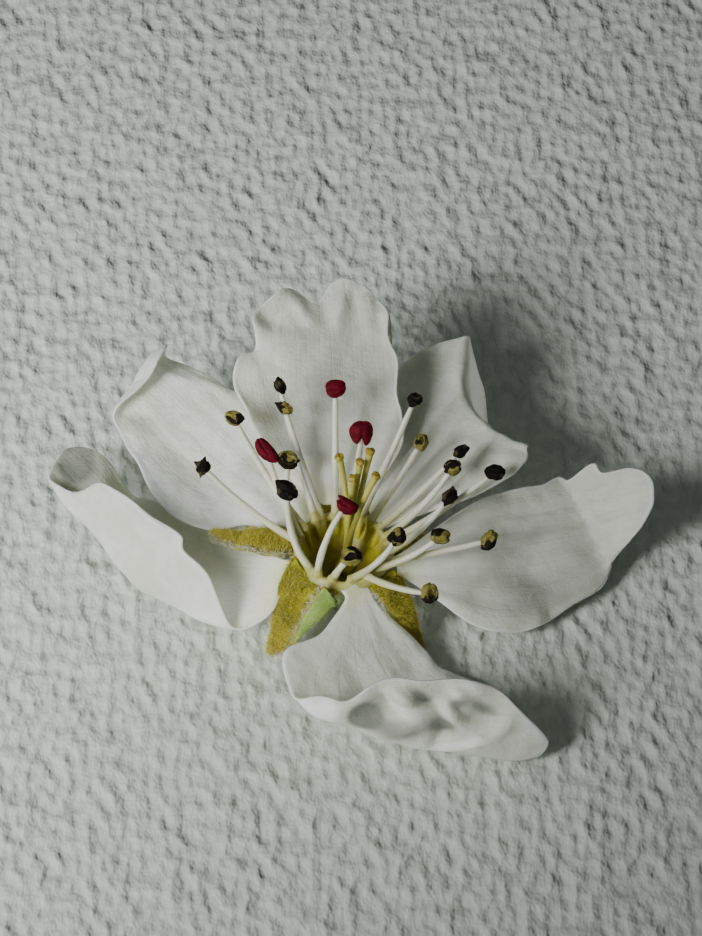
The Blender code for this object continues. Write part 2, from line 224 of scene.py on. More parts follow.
PETALS: tuple[tuple[Blade, Relief], ...] = (
    (
        Blade(
            "petal_left_front", root=(-2.95, -1.0, 3.8), azimuth=147, pitch=-17, bank=-14, twist=20,
            length=15.7, left=7.5, right=2.6, widest=0.5, neck=0.5, neck_right=1.3, end=0.75, bow=1.3,
            lobes=((-85, -0.38, 38), (34, -0.20, 18), (120, 0.18, 26), (-36, -0.12, 12), (160, 0.11, 12)),
            bends=(Bend(7.7, 2.0, 80, 120, 1.1), Bend(2.5, 0.0, 0, 24, 10.0)),
        ),
        Relief(
            seed=1,
            light=0.78,
            wrinkle=0.045,
            wrinkle_size=0.9,
            dent=0.16,
            swells=(Swell(11.3, -2.3, -1.5, 1.5, 1.3),),
            painted_light_and_shade=(
                Swell(14.5, -0.2, 1.8, 1.4, 1.2, -40),
                Swell(2.6, 2.6, -0.9, 2.4, 2.8),
                Swell(7.5, 1.5, -0.55, 3.0, 1.5),
            ),
        ),
    ),
    (
        Blade(
            "petal_left_back", root=(-1.96, 2.03, 4.12), azimuth=131, pitch=6, bank=-9,
            length=15.35, left=4.65, right=3.15, neck=1.1, neck_right=0.9,
            lobes=((128, 0.42, 38), (-44, -0.20, 20), (152, -0.15, 13)),
            bends=(
                Bend(12.3, 1.5, 23, 140, 0.75),
                Bend(9.5, -1.7, -60, -38, 1.5),
                Bend(0.0, 1.2, 90, 20, 8.0),
            ),
        ),
        Relief(seed=2, light=1.00),
    ),
    (
        Blade(
            "petal_back", root=(-0.1, 2.75, 4.55), azimuth=94, pitch=22,
            start=0.2, length=13.6, left=5.5, right=5.1, widest=0.6, neck=0.75, neck_right=0.75,
            lobes=((7, -0.23, 8), (57, -0.19, 9), (-58, -0.13, 30)),
            waves=((30, 0.5, 9), (-8, 0.5, 9), (75, -0.5, 12)),
            bends=(
                Bend(7.0, -2.7, -84, 62, 1.2),
                Bend(0.0, 1.6, 90, 25, 7.0),
                Bend(0.0, -1.6, -90, 25, 7.0),
            ),
        ),
        Relief(
            seed=3,
            light=0.64,
            painted_light_and_shade=(Swell(8.5, 3.8, -0.6, 3.0, 1.6), Swell(2.5, 0.0, -0.5, 2.0, 2.0)),
            ruffle=0.2,
            swells=(
                Swell(11.7, 0.2, -0.30, 1.2, 0.50, 5),
                Swell(11.7, -0.7, 0.30, 1.3, 0.45, -14),
                Swell(11.6, 1.5, 0.32, 1.4, 0.45, 37),
                Swell(11.0, -2.1, 0.22, 1.2, 0.45, 0),
                Swell(11.2, 3.2, -0.30, 0.6, 0.80, 0),
            ),
        ),
    ),
    (
        Blade(
            "petal_right_back", root=(2.05, 1.85, 4.2), azimuth=53, pitch=12, bank=-8,
            length=13.6, left=5.2, right=5.0, widest=0.6, neck=0.8, neck_right=1.1,
            lobes=((20, 0.10, 11), (-42, -0.20, 24), (-72, -0.10, 9)),
            bends=(
                Bend(8.9, 1.1, -36, -82, 0.5, 0.19),
                Bend(0.0, 1.4, 90, 20, 8.0),
            ),
        ),
        Relief(seed=4, light=0.80, painted_light_and_shade=(Swell(11.6, -0.3, -1.2, 4.2, 1.8, 54),)),
    ),
    (
        Blade(
            "petal_right", root=(2.95, -0.85, 3.9), azimuth=18.5, pitch=-8, bank=24,
            length=15.5, left=3.2, right=5.0, widest=0.5, neck=1.2, neck_right=0.95, lean=0.42,
            lobes=(
                (-62, -0.19, 32),
                (-20, -0.20, 15),
                (-135, 0.08, 20),
                (16, 0.14, 10),
                (36, 0.22, 5),
                (52, 0.12, 6),
            ),
            bends=(Bend(10.6, 0.8, 12, 52, 1.3), Bend(12.0, -2.4, -50, 70, 0.6)),
        ),
        Relief(seed=5, light=0.72, pleat=0.06, painted_light_and_shade=(Swell(7.0, -3.2, 0.45, 4.0, 1.8),)),
    ),
    (
        Blade(
            "petal_front", root=(0.8, -2.8, 4.05), azimuth=-47, pitch=-29, bank=-12,
            length=14.9, left=3.1, right=7.4, widest=0.35, neck=1.8, neck_right=1.2, end=0.5, bow=-2.2,
            claw=0.85, start=-0.4,
            lobes=(
                (-142, 0.20, 20),
                (-138, 0.16, 7),
                (-154, -0.04, 7),
                (-103, -0.12, 11),
                (75, 0.45, 24),
                (-35, 0.20, 18),
            ),
            bends=(Bend(10.4, 0.4, -54, 115, 1.2), Bend(3.0, 0.0, 0, 20, 12.0)),
        ),
        Relief(
            seed=6,
            light=0.88,
            pleat=0.05,
            pleats=3.0,
            wrinkle=0.035,
            wrinkle_size=0.8,
            swells=(
                Swell(8.4, -5.4, 0.34, 0.9, 0.35, 60),
                Swell(9.4, -5.2, -0.40, 1.0, 0.32, 50),
                Swell(10.6, -4.4, 0.38, 1.2, 0.40, 20),
                Swell(11.4, -3.4, -0.36, 0.9, 0.36, 80),
                Swell(12.6, -2.8, 0.34, 1.1, 0.45, 30),
                Swell(13.4, -1.6, -0.26, 0.8, 0.40, -30),
                Swell(9.0, -3.6, -0.34, 0.8, 0.40, 0),
                Swell(10.3, -2.4, 0.28, 0.9, 0.40, -40),
                Swell(11.8, -1.4, -0.26, 0.8, 0.34, 10),
                Swell(12.2, -4.4, -0.26, 0.7, 0.32, 60),
            ),
            painted_light_and_shade=(
                Swell(10.6, -3.6, 0.35, 5.0, 2.0, 36),
                Swell(6.9, -5.1, 2.0, 1.0, 0.7, 40),
                Swell(10.2, -5.1, 0.9, 0.8, 0.32, 60),
                Swell(10.9, -3.1, 1.0, 0.9, 0.50, 20),
                Swell(11.9, -3.9, 0.8, 0.6, 0.32, -20),
                Swell(13.0, -3.2, 0.7, 0.9, 0.38, 60),
                Swell(8.4, -3.6, 0.6, 1.0, 0.55, 10),
                Swell(4.2, -6.2, -1.3, 1.5, 0.9, 20),
                Swell(10.0, -1.6, -1.3, 2.4, 0.35, 5),
                Swell(9.1, -4.8, -0.7, 0.9, 0.28, 60),
                Swell(11.5, -3.0, -0.9, 1.3, 0.28, 70),
            ),
        ),
    ),
)

SEPALS: tuple[Blade, ...] = (
    Blade(
        "sepal_left", root=(-3.05, 0.37, 4.22), azimuth=173.5, pitch=1, start=-0.4, length=4.1,
        claw=0.8, left=1.2, right=1.0, widest=0.05, end=0.12, taper=1.2, round=0.0,
        bends=(Bend(0.0, 0.0, 90, 30, 1.6), Bend(0.0, 0.0, -90, 30, 1.6)),
    ),
    Blade(
        "sepal_front_left", root=(-1.85, -2.3, 3.95), azimuth=231, pitch=-28, start=-0.55, length=4.3,
        claw=1.6, left=3.05, right=1.25, widest=0.05, end=0.05, taper=1.2, round=0.0, bank=-6,
        lobes=((-150, 0.5, 24),),
        bends=(Bend(0.0, 1.5, 75, 140, 0.3), Bend(0.0, -1.0, -90, -40, 0.6), Bend(0.8, 0.0, 0, -25, 6.0)),
    ),
    Blade(
        "sepal_front_right", root=(2.3, -2.15, 3.8), azimuth=-45, pitch=-44, start=-0.4, length=4.4,
        claw=0.85, left=1.0, right=0.75, widest=0.05, end=0.2, taper=1.2, round=0.0,
        bends=(Bend(0.8, 0.0, 0, -15, 6.0), Bend(0.0, 0.3, 90, 20, 1.6)),
    ),
    Blade(
        "sepal_right", root=(3.1, 0.75, 3.4), azimuth=14, pitch=-24, start=-0.4, length=5.2,
        claw=0.9, left=1.3, right=1.3, widest=0.05, end=0.12, taper=1.2, round=0.0,
        bends=(Bend(0.8, 0.0, 0, -20, 6.0),),
    ),
    Blade(
        "sepal_back_right", root=(1.15, 2.8, 3.5), azimuth=67, pitch=-21, start=-0.4, length=5.8,
        claw=0.9, left=1.4, right=1.4, widest=0.05, end=0.12, taper=1.2, round=0.0,
        bends=(Bend(0.8, 0.0, 0, -20, 6.0),),
    ),
    Blade(
        "sepal_back_left", root=(-1.15, 2.8, 3.5), azimuth=113, pitch=-21, start=-0.4, length=5.8,
        claw=0.9, left=1.4, right=1.4, widest=0.05, end=0.12, taper=1.2, round=0.0,
        bends=(Bend(0.8, 0.0, 0, -20, 6.0),),
    ),
)

CLOSED, OPEN, SPENT = AntherKind.CLOSED, AntherKind.OPEN, AntherKind.SPENT

STAMENS: tuple[Stamen, ...] = (
    Stamen(128, Limb(111, 43, 7.6, 20, 0), Anther(SPENT, 0.95, 0.65, -55)),
    Stamen(
        120,
        Limb(116, 44, 6.3, 15, 0),
        Anther(OPEN, 0.95, 0.65, -30, 0.7, knobs=((180, 0.5),), hollow=0.2, burnt=180),
    ),
    Stamen(150, Limb(132, 37, 7.2, 30, 0), Anther(OPEN, 1.05, 0.80, -20, 0.95, hollow=0.1, burnt=-20)),
    Stamen(165, Limb(123, 49, 5.2, 30, 0), Anther(CLOSED, 1.65, 0.80, -50, kidney=0.35)),
    Stamen(
        195,
        Limb(100, 42, 5.2, 50, -40),
        Anther(OPEN, 1.20, 1.00, -20, 0.55, hollow=0.5, knobs=((20, 0.2),)),
    ),
    Stamen(
        175,
        Limb(153, 29, 6.7, 30, 0),
        Anther(SPENT, 0.90, 0.75, 60, knobs=((200, 0.5), (20, 0.4), (90, 0.5))),
    ),
    Stamen(222, Limb(116, 51, 4.5, 50, -50), Anther(SPENT, 1.25, 0.95, -25, 0.3, knobs=((160, 0.3),))),
    Stamen(100, Limb(90, 50, 6.9, 10, 0), Anther(CLOSED, 1.15, 1.00, 10, kidney=0.15)),
    Stamen(80, Limb(73, 63, 4.8, 0, 0), Anther(CLOSED, 1.40, 1.25, 85, split=1.1)),
    Stamen(235, Limb(52, 52, 4.2, -45, -20), Anther(CLOSED, 1.45, 0.85, -30, kidney=0.3, split=0.5)),
    Stamen(257, Limb(21, 54, 1.8, -20, 0), Anther(OPEN, 1.25, 1.05, 0, 0.9, hollow=1.1)),
    Stamen(280, Limb(25, 38, 3.5, 50, 20), Anther(OPEN, 1.10, 0.90, 50, 0.45, hollow=0.4, burnt=200)),
    Stamen(318, Limb(8, 31, 4.1, 35, 10), Anther(OPEN, 1.10, 0.90, -10, 0.9, hollow=0.3, burnt=120)),
    Stamen(330, Limb(5, 12, 6.0, 8, 0), Anther(OPEN, 1.20, 0.80, 60, 0.7, hollow=0.4, burnt=-80)),
    Stamen(300, Limb(-30, 12, 4.1, -10, 35), Anther(OPEN, 1.15, 0.95, 80, 0.9, hollow=0.6, burnt=-90)),
    Stamen(345, Limb(32, 29, 4.7, 30, 15), Anther(SPENT, 0.90, 0.70, 30, knobs=((50, 0.5), (215, 0.5)))),
    Stamen(15, Limb(35, 32, 5.3, 30, 10), Anther(OPEN, 1.05, 0.85, 10, 0.7, hollow=0.3, burnt=80)),
    Stamen(33, Limb(33, 30, 6.1, 15, 0), Anther(SPENT, 0.95, 0.60, 25)),
    Stamen(3, Limb(26, 22, 7.1, 15, 0), Anther(SPENT, 1.15, 0.80, -5)),
    Stamen(50, Limb(46, 39, 5.1, 15, 0), Anther(OPEN, 0.98, 0.80, 80, 0.85, hollow=0.6)),
    Stamen(65, Limb(56, 42, 7.0, 10, 0), Anther(SPENT, 0.80, 0.75, -30, 0.2)),
)

STYLES: tuple[Limb, ...] = (
    Limb(98, 71, 6.7, 0, 60),
    Limb(60, 67, 7.1, 0, 0),
    Limb(66, 72, 6.6, 0, 0),
    Limb(69, 78, 5.9, 0, 0),
    Limb(34, 71, 6.3, -25, 0),
)


def smooth(values: np.ndarray | float, low: float = 0.0, high: float = 1.0) -> np.ndarray:
    """Rise from 0 to 1 between low and high, level at both ends."""
    part = np.clip((values - low) / (high - low), 0.0, 1.0)
    return part * part * (3.0 - 2.0 * part)


def direction(heading: float, rise: float) -> np.ndarray:
    """Unit vector toward a heading, from +X, that rises by so many degrees."""
    flat, up = math.radians(heading), math.radians(rise)
    return np.array([math.cos(flat) * math.cos(up), math.sin(flat) * math.cos(up), math.sin(up)])


def soft_noise(places: np.ndarray, size: float, seed: int, waves: int = 14) -> np.ndarray:
    """Add up seeded waves of many headings, for smooth dents of about one size.

    Args:
        places: Points, one row each.
        size: The width of a dent, in the units of the points.
        seed: Which draw of waves to use.
        waves: How many waves are added up.

    Returns:
        One value a point, mostly between -1 and 1.
    """
    draw = np.random.default_rng(seed)
    total = np.zeros(len(places))
    for _ in range(waves):
        way = draw.normal(size=places.shape[1])
        way *= 2 * math.pi / (size * draw.uniform(1.2, 3.0)) / np.linalg.norm(way)
        total += np.sin(places @ way + draw.uniform(0, 2 * math.pi))
    return total / math.sqrt(waves)


def flat_outline(blade: Blade, along: np.ndarray, across: np.ndarray) -> np.ndarray:
    """Place grid values on a blade's flat outline.

    Args:
        blade: The petal or sepal.
        along: From 0 at the root to 1 at the tip.
        across: From -1 at the right margin to 1 at the left one.

    Returns:
        Points in millimetres, with the blade's few broad waves as their height.
    """
    along = (blade.start + (blade.length - blade.start) * along) / blade.length
    inner = np.clip(along, 0.0, 1.0)
    neck = np.where(across > 0.0, blade.neck, blade.neck_right)
    rise = np.sin(np.pi / 2 * np.clip(inner / blade.widest, 0.0, 1.0)) ** neck
    past = np.clip((inner - blade.widest) / (1.0 - blade.widest), 0.0, 1.0)
    widest = np.where(across > 0.0, blade.left, blade.right)
    spread = blade.claw + (widest - blade.claw) * rise
    half_width = spread * (1.0 - (1.0 - blade.end) * past**blade.taper)
    side = across * half_width
    out = blade.length * (along - blade.round * across**2 * inner**3) + blade.lean * side * inner**2
    middle = 0.5 * blade.length
    bearing = np.degrees(np.arctan2(side, out - middle))
    edge = 1.0 - (1.0 - inner**5) * (1.0 - np.abs(across) ** 5)
    scale = np.ones_like(out)
    for at, depth, width in blade.lobes:
        scale += depth * np.exp(-(((bearing - at) / width) ** 2)) * edge
    height = np.zeros_like(out)
    for at, lift, width in blade.waves:
        height += lift * np.exp(-(((bearing - at) / width) ** 2)) * smooth(edge, 0.05, 1.0)
    return np.stack([middle + (out - middle) * scale, side * scale, height], axis=-1)


def swollen(points: np.ndarray, swells: tuple[Swell, ...]) -> np.ndarray:
    """Add up swells over a flat sheet.

    Args:
        points: Points of the flat sheet, in millimetres.
        swells: Its ridges, furrows or patches.

    Returns:
        The sum at each point.
    """
    total = np.zeros(len(points))
    for swell in swells:
        angle = math.radians(swell.heading)
        offset = points[:, :2] - np.array([swell.along, swell.across])
        ahead = offset @ np.array([math.cos(angle), math.sin(angle)])
        beside = offset @ np.array([-math.sin(angle), math.cos(angle)])
        total += swell.lift * np.exp(-((ahead / swell.long) ** 2) - (beside / swell.wide) ** 2)
    return total


def bent(points: np.ndarray, bend: Bend) -> np.ndarray:
    """Wrap what lies past a line round an arc whose curvature comes and goes smoothly.

    Args:
        points: Points of the sheet, in millimetres: along, across and height.
        bend: The line and the arc.

    Returns:
        The points after the bend.
    """
    angle = math.radians(bend.toward)
    ahead = np.array([math.cos(angle), math.sin(angle)])
    beside = np.array([-math.sin(angle), math.cos(angle)])
    start = np.array([bend.along, bend.across])
    offset = points[:, :2] - start
    distance = offset @ ahead - 0.5 * bend.bow * (offset @ beside) ** 2
    straight, height = offset @ ahead - distance, points[:, 2]
    total = math.radians(bend.turn)
    length = abs(total) * bend.radius
    part = np.linspace(0.0, 1.0, FOLD_STEPS + 1)
    turned = total * (part - np.sin(2 * np.pi * part) / (2 * np.pi))
    middle = (turned[1:] + turned[:-1]) / 2
    forward = np.concatenate([[0.0], np.cumsum(np.cos(middle))]) * length / FOLD_STEPS
    upward = np.concatenate([[0.0], np.cumsum(np.sin(middle))]) * length / FOLD_STEPS
    reached = np.clip(distance / length, 0.0, 1.0)
    heading = np.interp(reached, part, turned)
    beyond = np.clip(distance - length, 0.0, None)
    out = np.interp(reached, part, forward) + beyond * np.cos(heading) - height * np.sin(heading)
    up = np.interp(reached, part, upward) + beyond * np.sin(heading) + height * np.cos(heading)
    out = np.where(distance <= 0.0, distance, out)
    up = np.where(distance <= 0.0, height, up)
    plan = start + np.outer(out + straight, ahead) + np.outer(offset @ beside, beside)
    return np.column_stack([plan, up])


def placed(points: np.ndarray, blade: Blade) -> np.ndarray:
    """Bow, twist, bank and pitch the bent sheet, turn it to its azimuth and set it at its root.

    Args:
        points: Points of the bent sheet, in millimetres.
        blade: The petal or sepal.

    Returns:
        The points in place on the blossom.
    """
    part = np.clip(points[:, 0] / blade.length, 0.0, 1.0)
    side = points[:, 1] + blade.bow * 4.0 * part * (1.0 - part)
    bank = np.radians(blade.bank + blade.twist * smooth(part))
    across = side * np.cos(bank) - points[:, 2] * np.sin(bank)
    up = side * np.sin(bank) + points[:, 2] * np.cos(bank)
    turn = Matrix.Rotation(math.radians(blade.azimuth), 3, "Z") @ Matrix.Rotation(
        math.radians(-blade.pitch), 3, "Y"
    )
    local = np.column_stack([points[:, 0], across, up])
    return local @ np.array(turn).T + np.array(blade.root)


def curved_path(start: np.ndarray, limb: Limb, steps: int) -> np.ndarray:
    """Curve a limb from its start to the end of its chord.

    Args:
        start: Where it starts, in millimetres.
        limb: The filament or style.
        steps: How many straight steps the curve has.

    Returns:
        The points of the curve.
    """
    parts = (np.arange(steps) + 0.5) / steps - 0.5
    legs = [direction(limb.heading + limb.swerve * part, limb.rise + limb.curl * part) for part in parts]
    path = np.vstack([np.zeros(3), np.cumsum(legs, axis=0)]) * limb.chord / steps
    miss = direction(limb.heading, limb.rise) * limb.chord - path[-1]
    return start + path + np.outer(np.linspace(0.0, 1.0, steps + 1), miss)


def deselect() -> None:
    """Leave nothing selected."""
    bpy.ops.object.select_all(action="DESELECT")


def pick(*things: bpy.types.Object) -> None:
    """Select only these objects, with the first one active."""
    deselect()
    for thing in things:
        thing.select_set(True)
    bpy.context.view_layer.objects.active = things[0]


def read_vertices(thing: bpy.types.Object, what: str = "co") -> np.ndarray:
    """The mesh's vertices in its own units, or with "normal" the normals there."""
    flat = np.empty(len(thing.data.vertices) * 3)
    thing.data.vertices.foreach_get(what, flat)
    return flat.reshape(-1, 3)


def write_points(thing: bpy.types.Object, points: np.ndarray) -> None:
    """Set the mesh's vertices from points in millimetres."""
    thing.data.vertices.foreach_set("co", (points * MM).ravel())
    thing.data.update()


def write_attribute(thing: bpy.types.Object, name: str, values: np.ndarray) -> None:
    """Keep one number a vertex under a name, for the finish to read."""
    layer = thing.data.attributes.new(name, "FLOAT", "POINT")
    layer.data.foreach_set("value", np.asarray(values, dtype=np.float32))


def apply_all(thing: bpy.types.Object) -> None:
    """Apply the object's modifiers in order."""
    pick(thing)
    for modifier in list(thing.modifiers):
        bpy.ops.object.modifier_apply(modifier=modifier.name)


def linked(name: str, data: bpy.types.ID) -> bpy.types.Object:
    """A new object with this data, in the scene."""
    thing = bpy.data.objects.new(name, data)
    bpy.context.scene.collection.objects.link(thing)
    return thing


def new_ball(subdivisions: int) -> bpy.types.Object:
    """A new ico sphere with a radius of 1."""
    deselect()
    bpy.ops.mesh.primitive_ico_sphere_add(subdivisions=subdivisions, radius=1.0)
    return bpy.context.object


def thicken(sheet: bpy.types.Object, thickness: float) -> bpy.types.Modifier:
    """Make a sheet so many millimetres thick, half to each side."""
    solidify = sheet.modifiers.new("Thickness", "SOLIDIFY")
    solidify.thickness = thickness * MM
    solidify.offset = 0.0
    return solidify


def dress(thing: bpy.types.Object, *finishes: bpy.types.Material) -> None:
    """Give a mesh its finishes, and shade it smooth."""
    thing.data.materials.clear()
    for finish in finishes:
        thing.data.materials.append(finish)
    thing.data.shade_smooth()


def make_rod(name: str, path: np.ndarray, radii: np.ndarray) -> bpy.types.Object:
    """Bevel a curve along a path, and turn it into a mesh.

    Args:
        name: The rod's name.
        path: Points in millimetres.
        radii: The rod's radius at each point.

    Returns:
        The rod.
    """
    curve = bpy.data.curves.new(name, "CURVE")
    curve.dimensions = "3D"
    curve.bevel_depth = MM
    curve.bevel_resolution = ROD_BEVEL_STEPS
    curve.use_fill_caps = True
    spline = curve.splines.new("POLY")
    spline.points.add(len(path) - 1)
    for point, place, radius in zip(spline.points, path, radii):
        point.co = (*(place * MM), 1.0)
        point.radius = float(radius)
    pick(linked(name, curve))
    bpy.ops.object.convert(target="MESH")
    return bpy.context.object


def join(name: str, parts: list[bpy.types.Object]) -> bpy.types.Object:
    """Join objects into the first one.

    Args:
        name: The joined object's name.
        parts: The objects.

    Returns:
        The joined object.
    """
    pick(*parts)
    bpy.ops.object.join()
    joined = bpy.context.object
    joined.name = name
    joined.data.name = name
    return joined


def finish_piece(thing: bpy.types.Object, nodes: tuple[str, ...] = ()) -> None:
    """Let a piece ride on the blossom and what it replaces.

    Args:
        thing: The piece, in place.
        nodes: The plain nodes that it stands for.
    """
    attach(thing, BODY)
    if nodes:
        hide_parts(*nodes)
    thing.data.calc_loop_triangles()
    LOG.info("%s: %d triangles", thing.name, len(thing.data.loop_triangles))


def finish_joined(
    name: str,
    parts: list[bpy.types.Object],
    finish: bpy.types.Material,
    nodes: tuple[str, ...] = (),
) -> None:
    """Join parts into one piece, and finish it.

    Args:
        name: The piece's name.
        parts: Its parts.
        finish: Its material.
        nodes: The plain nodes that it stands for.
    """
    piece = join(name, parts)
    dress(piece, finish)
    finish_piece(piece, nodes)


class Value:
    """A number or colour that varies over a surface, with arithmetic that adds Math nodes."""

    def __init__(self, shader: "Shader", socket: bpy.types.NodeSocket) -> None:
        """Keep the socket and the shader that it belongs to."""
        self.shader = shader
        self.socket = socket

    def _math(self, operation: str, *values: "Value | float") -> "Value":
        """One Math node."""
        return self.shader.node("ShaderNodeMath", {"operation": operation}, dict(enumerate(values)))

    def __add__(self, other: "Value | float") -> "Value":
        """Sum."""
        return self._math("ADD", self, other)

    def __sub__(self, other: "Value | float") -> "Value":
        """Difference."""
        return self._math("SUBTRACT", self, other)

    def __rsub__(self, other: float) -> "Value":
        """Difference, reflected."""
        return self._math("SUBTRACT", other, self)

    def __mul__(self, other: "Value | float") -> "Value":
        """Product."""
        return self._math("MULTIPLY", self, other)

    def __pow__(self, other: float) -> "Value":
        """Power."""
        return self._math("POWER", self, other)

    def ridge(self, count: float) -> "Value":
        """Narrow lines, so many for each unit of this value: 1 on a line and 0 between."""
        return 1.0 - self._math("ABSOLUTE", self._math("SINE", self * (count * math.pi)))

    def over(self, low: float, high: float) -> "Value":
        """Rise smoothly from 0 to 1 as this value goes from low to high."""
        inputs = {"Value": self, "From Min": low, "From Max": high, "To Min": 0.0, "To Max": 1.0}
        return self.shader.node("ShaderNodeMapRange", {"interpolation_type": "SMOOTHSTEP"}, inputs)

    def size(self) -> "Value":
        """This value without its sign."""
        return self._math("ABSOLUTE", self)

    def largest(self, other: "Value | float") -> "Value":
        """The larger of two values."""
        return self._math("MAXIMUM", self, other)


class Shader:
    """One material's nodes."""

    def __init__(self, name: str) -> None:
        """Start a material with its Principled shader."""
        self.material = bpy.data.materials.new(name)
        self.material.use_nodes = True
        self.tree = self.material.node_tree
        self.surface = self.tree.nodes["Principled BSDF"]

    def node(self, kind: str, settings: dict, inputs: dict, output: int | str = 0) -> Value:
        """Add a node.

        Args:
            kind: The node's type.
            settings: Its settings, set first.
            inputs: Values or links of its sockets, by name or number.
            output: Which output is wanted.

        Returns:
            The output.
        """
        node = self.tree.nodes.new(kind)
        for name, setting in settings.items():
            setattr(node, name, setting)
        for key, value in inputs.items():
            self._feed(node.inputs[key], value)
        return Value(self, node.outputs[output])

    def _feed(self, socket: bpy.types.NodeSocket, value: Value | float | tuple[float, ...]) -> None:
        """Link an input, or set it.

        Args:
            socket: The input.
            value: What it gets.
        """
        if isinstance(value, Value):
            self.tree.links.new(value.socket, socket)
        elif socket.type == "RGBA":
            socket.default_value = (*value, 1.0)
        else:
            socket.default_value = value

    def place(self) -> Value:
        """The place on the blossom, in millimetres."""
        spot = self.node("ShaderNodeTexCoord", {}, {}, "Object")
        return self.node("ShaderNodeVectorMath", {"operation": "SCALE"}, {0: spot, "Scale": 1.0 / MM})

    def axis(self, vector: Value, index: int) -> Value:
        """One coordinate of a vector."""
        return self.node("ShaderNodeSeparateXYZ", {}, {"Vector": vector}, index)

    def sheet_place(self) -> Value:
        """The place on the blade's own UV map."""
        return self.node("ShaderNodeUVMap", {"uv_map": UV_MAP}, {})

    def attribute(self, name: str) -> Value:
        """A number kept at each vertex."""
        return self.node("ShaderNodeAttribute", {"attribute_name": name}, {}, "Fac")

    def noise(self, vector: Value, size: float, detail: float = 3.0, roughness: float = 0.5) -> Value:
        """Noise with spots of about so many units."""
        inputs = {"Vector": vector, "Scale": 1.0 / size, "Detail": detail, "Roughness": roughness}
        return self.node("ShaderNodeTexNoise", {"noise_dimensions": "3D"}, inputs)

    def cells(self, vector: Value, size: float) -> Value:
        """Distance from the middle of the nearest of many small cells."""
        return self.node("ShaderNodeTexVoronoi", {}, {"Vector": vector, "Scale": 1.0 / size}, "Distance")

    def mix(self, factor: Value | float, first: Value | Colour, second: Value | Colour) -> Value:
        """Blend two colours."""
        return self.node("ShaderNodeMix", {"data_type": "RGBA"}, {0: factor, 6: first, 7: second}, 2)

    def bump(self, height: Value, strength: float, depth: float, under: Value | None = None) -> Value:
        """Tilt the surface by a height.

        Args:
            height: The height, from 0 to 1.
            strength: The share of the tilt that is used.
            depth: How far 1 stands above 0, in millimetres.
            under: A coarser bump below this one.

        Returns:
            The surface's new normal.
        """
        inputs = {"Height": height, "Strength": strength, "Distance": depth * MM}
        if under is not None:
            inputs["Normal"] = under
        return self.node("ShaderNodeBump", {}, inputs)

    def set(self, **sockets: Value | float | tuple[float, ...]) -> None:
        """Set or link the Principled shader's sockets, with _ for a space in their names."""
        for key, value in sockets.items():
            self._feed(self.surface.inputs[key.replace("_", " ")], value)


@dataclass(frozen=True)
class Finish:
    """A procedural material."""

    name: str

    def material(self) -> bpy.types.Material:
        """Make the material.

        Returns:
            The material.
        """
        shader = Shader(self.name)
        self.paint(shader)
        return shader.material

    def paint(self, shader: Shader) -> None:
        """Set the shader's sockets, each finish in its own way."""
        raise NotImplementedError


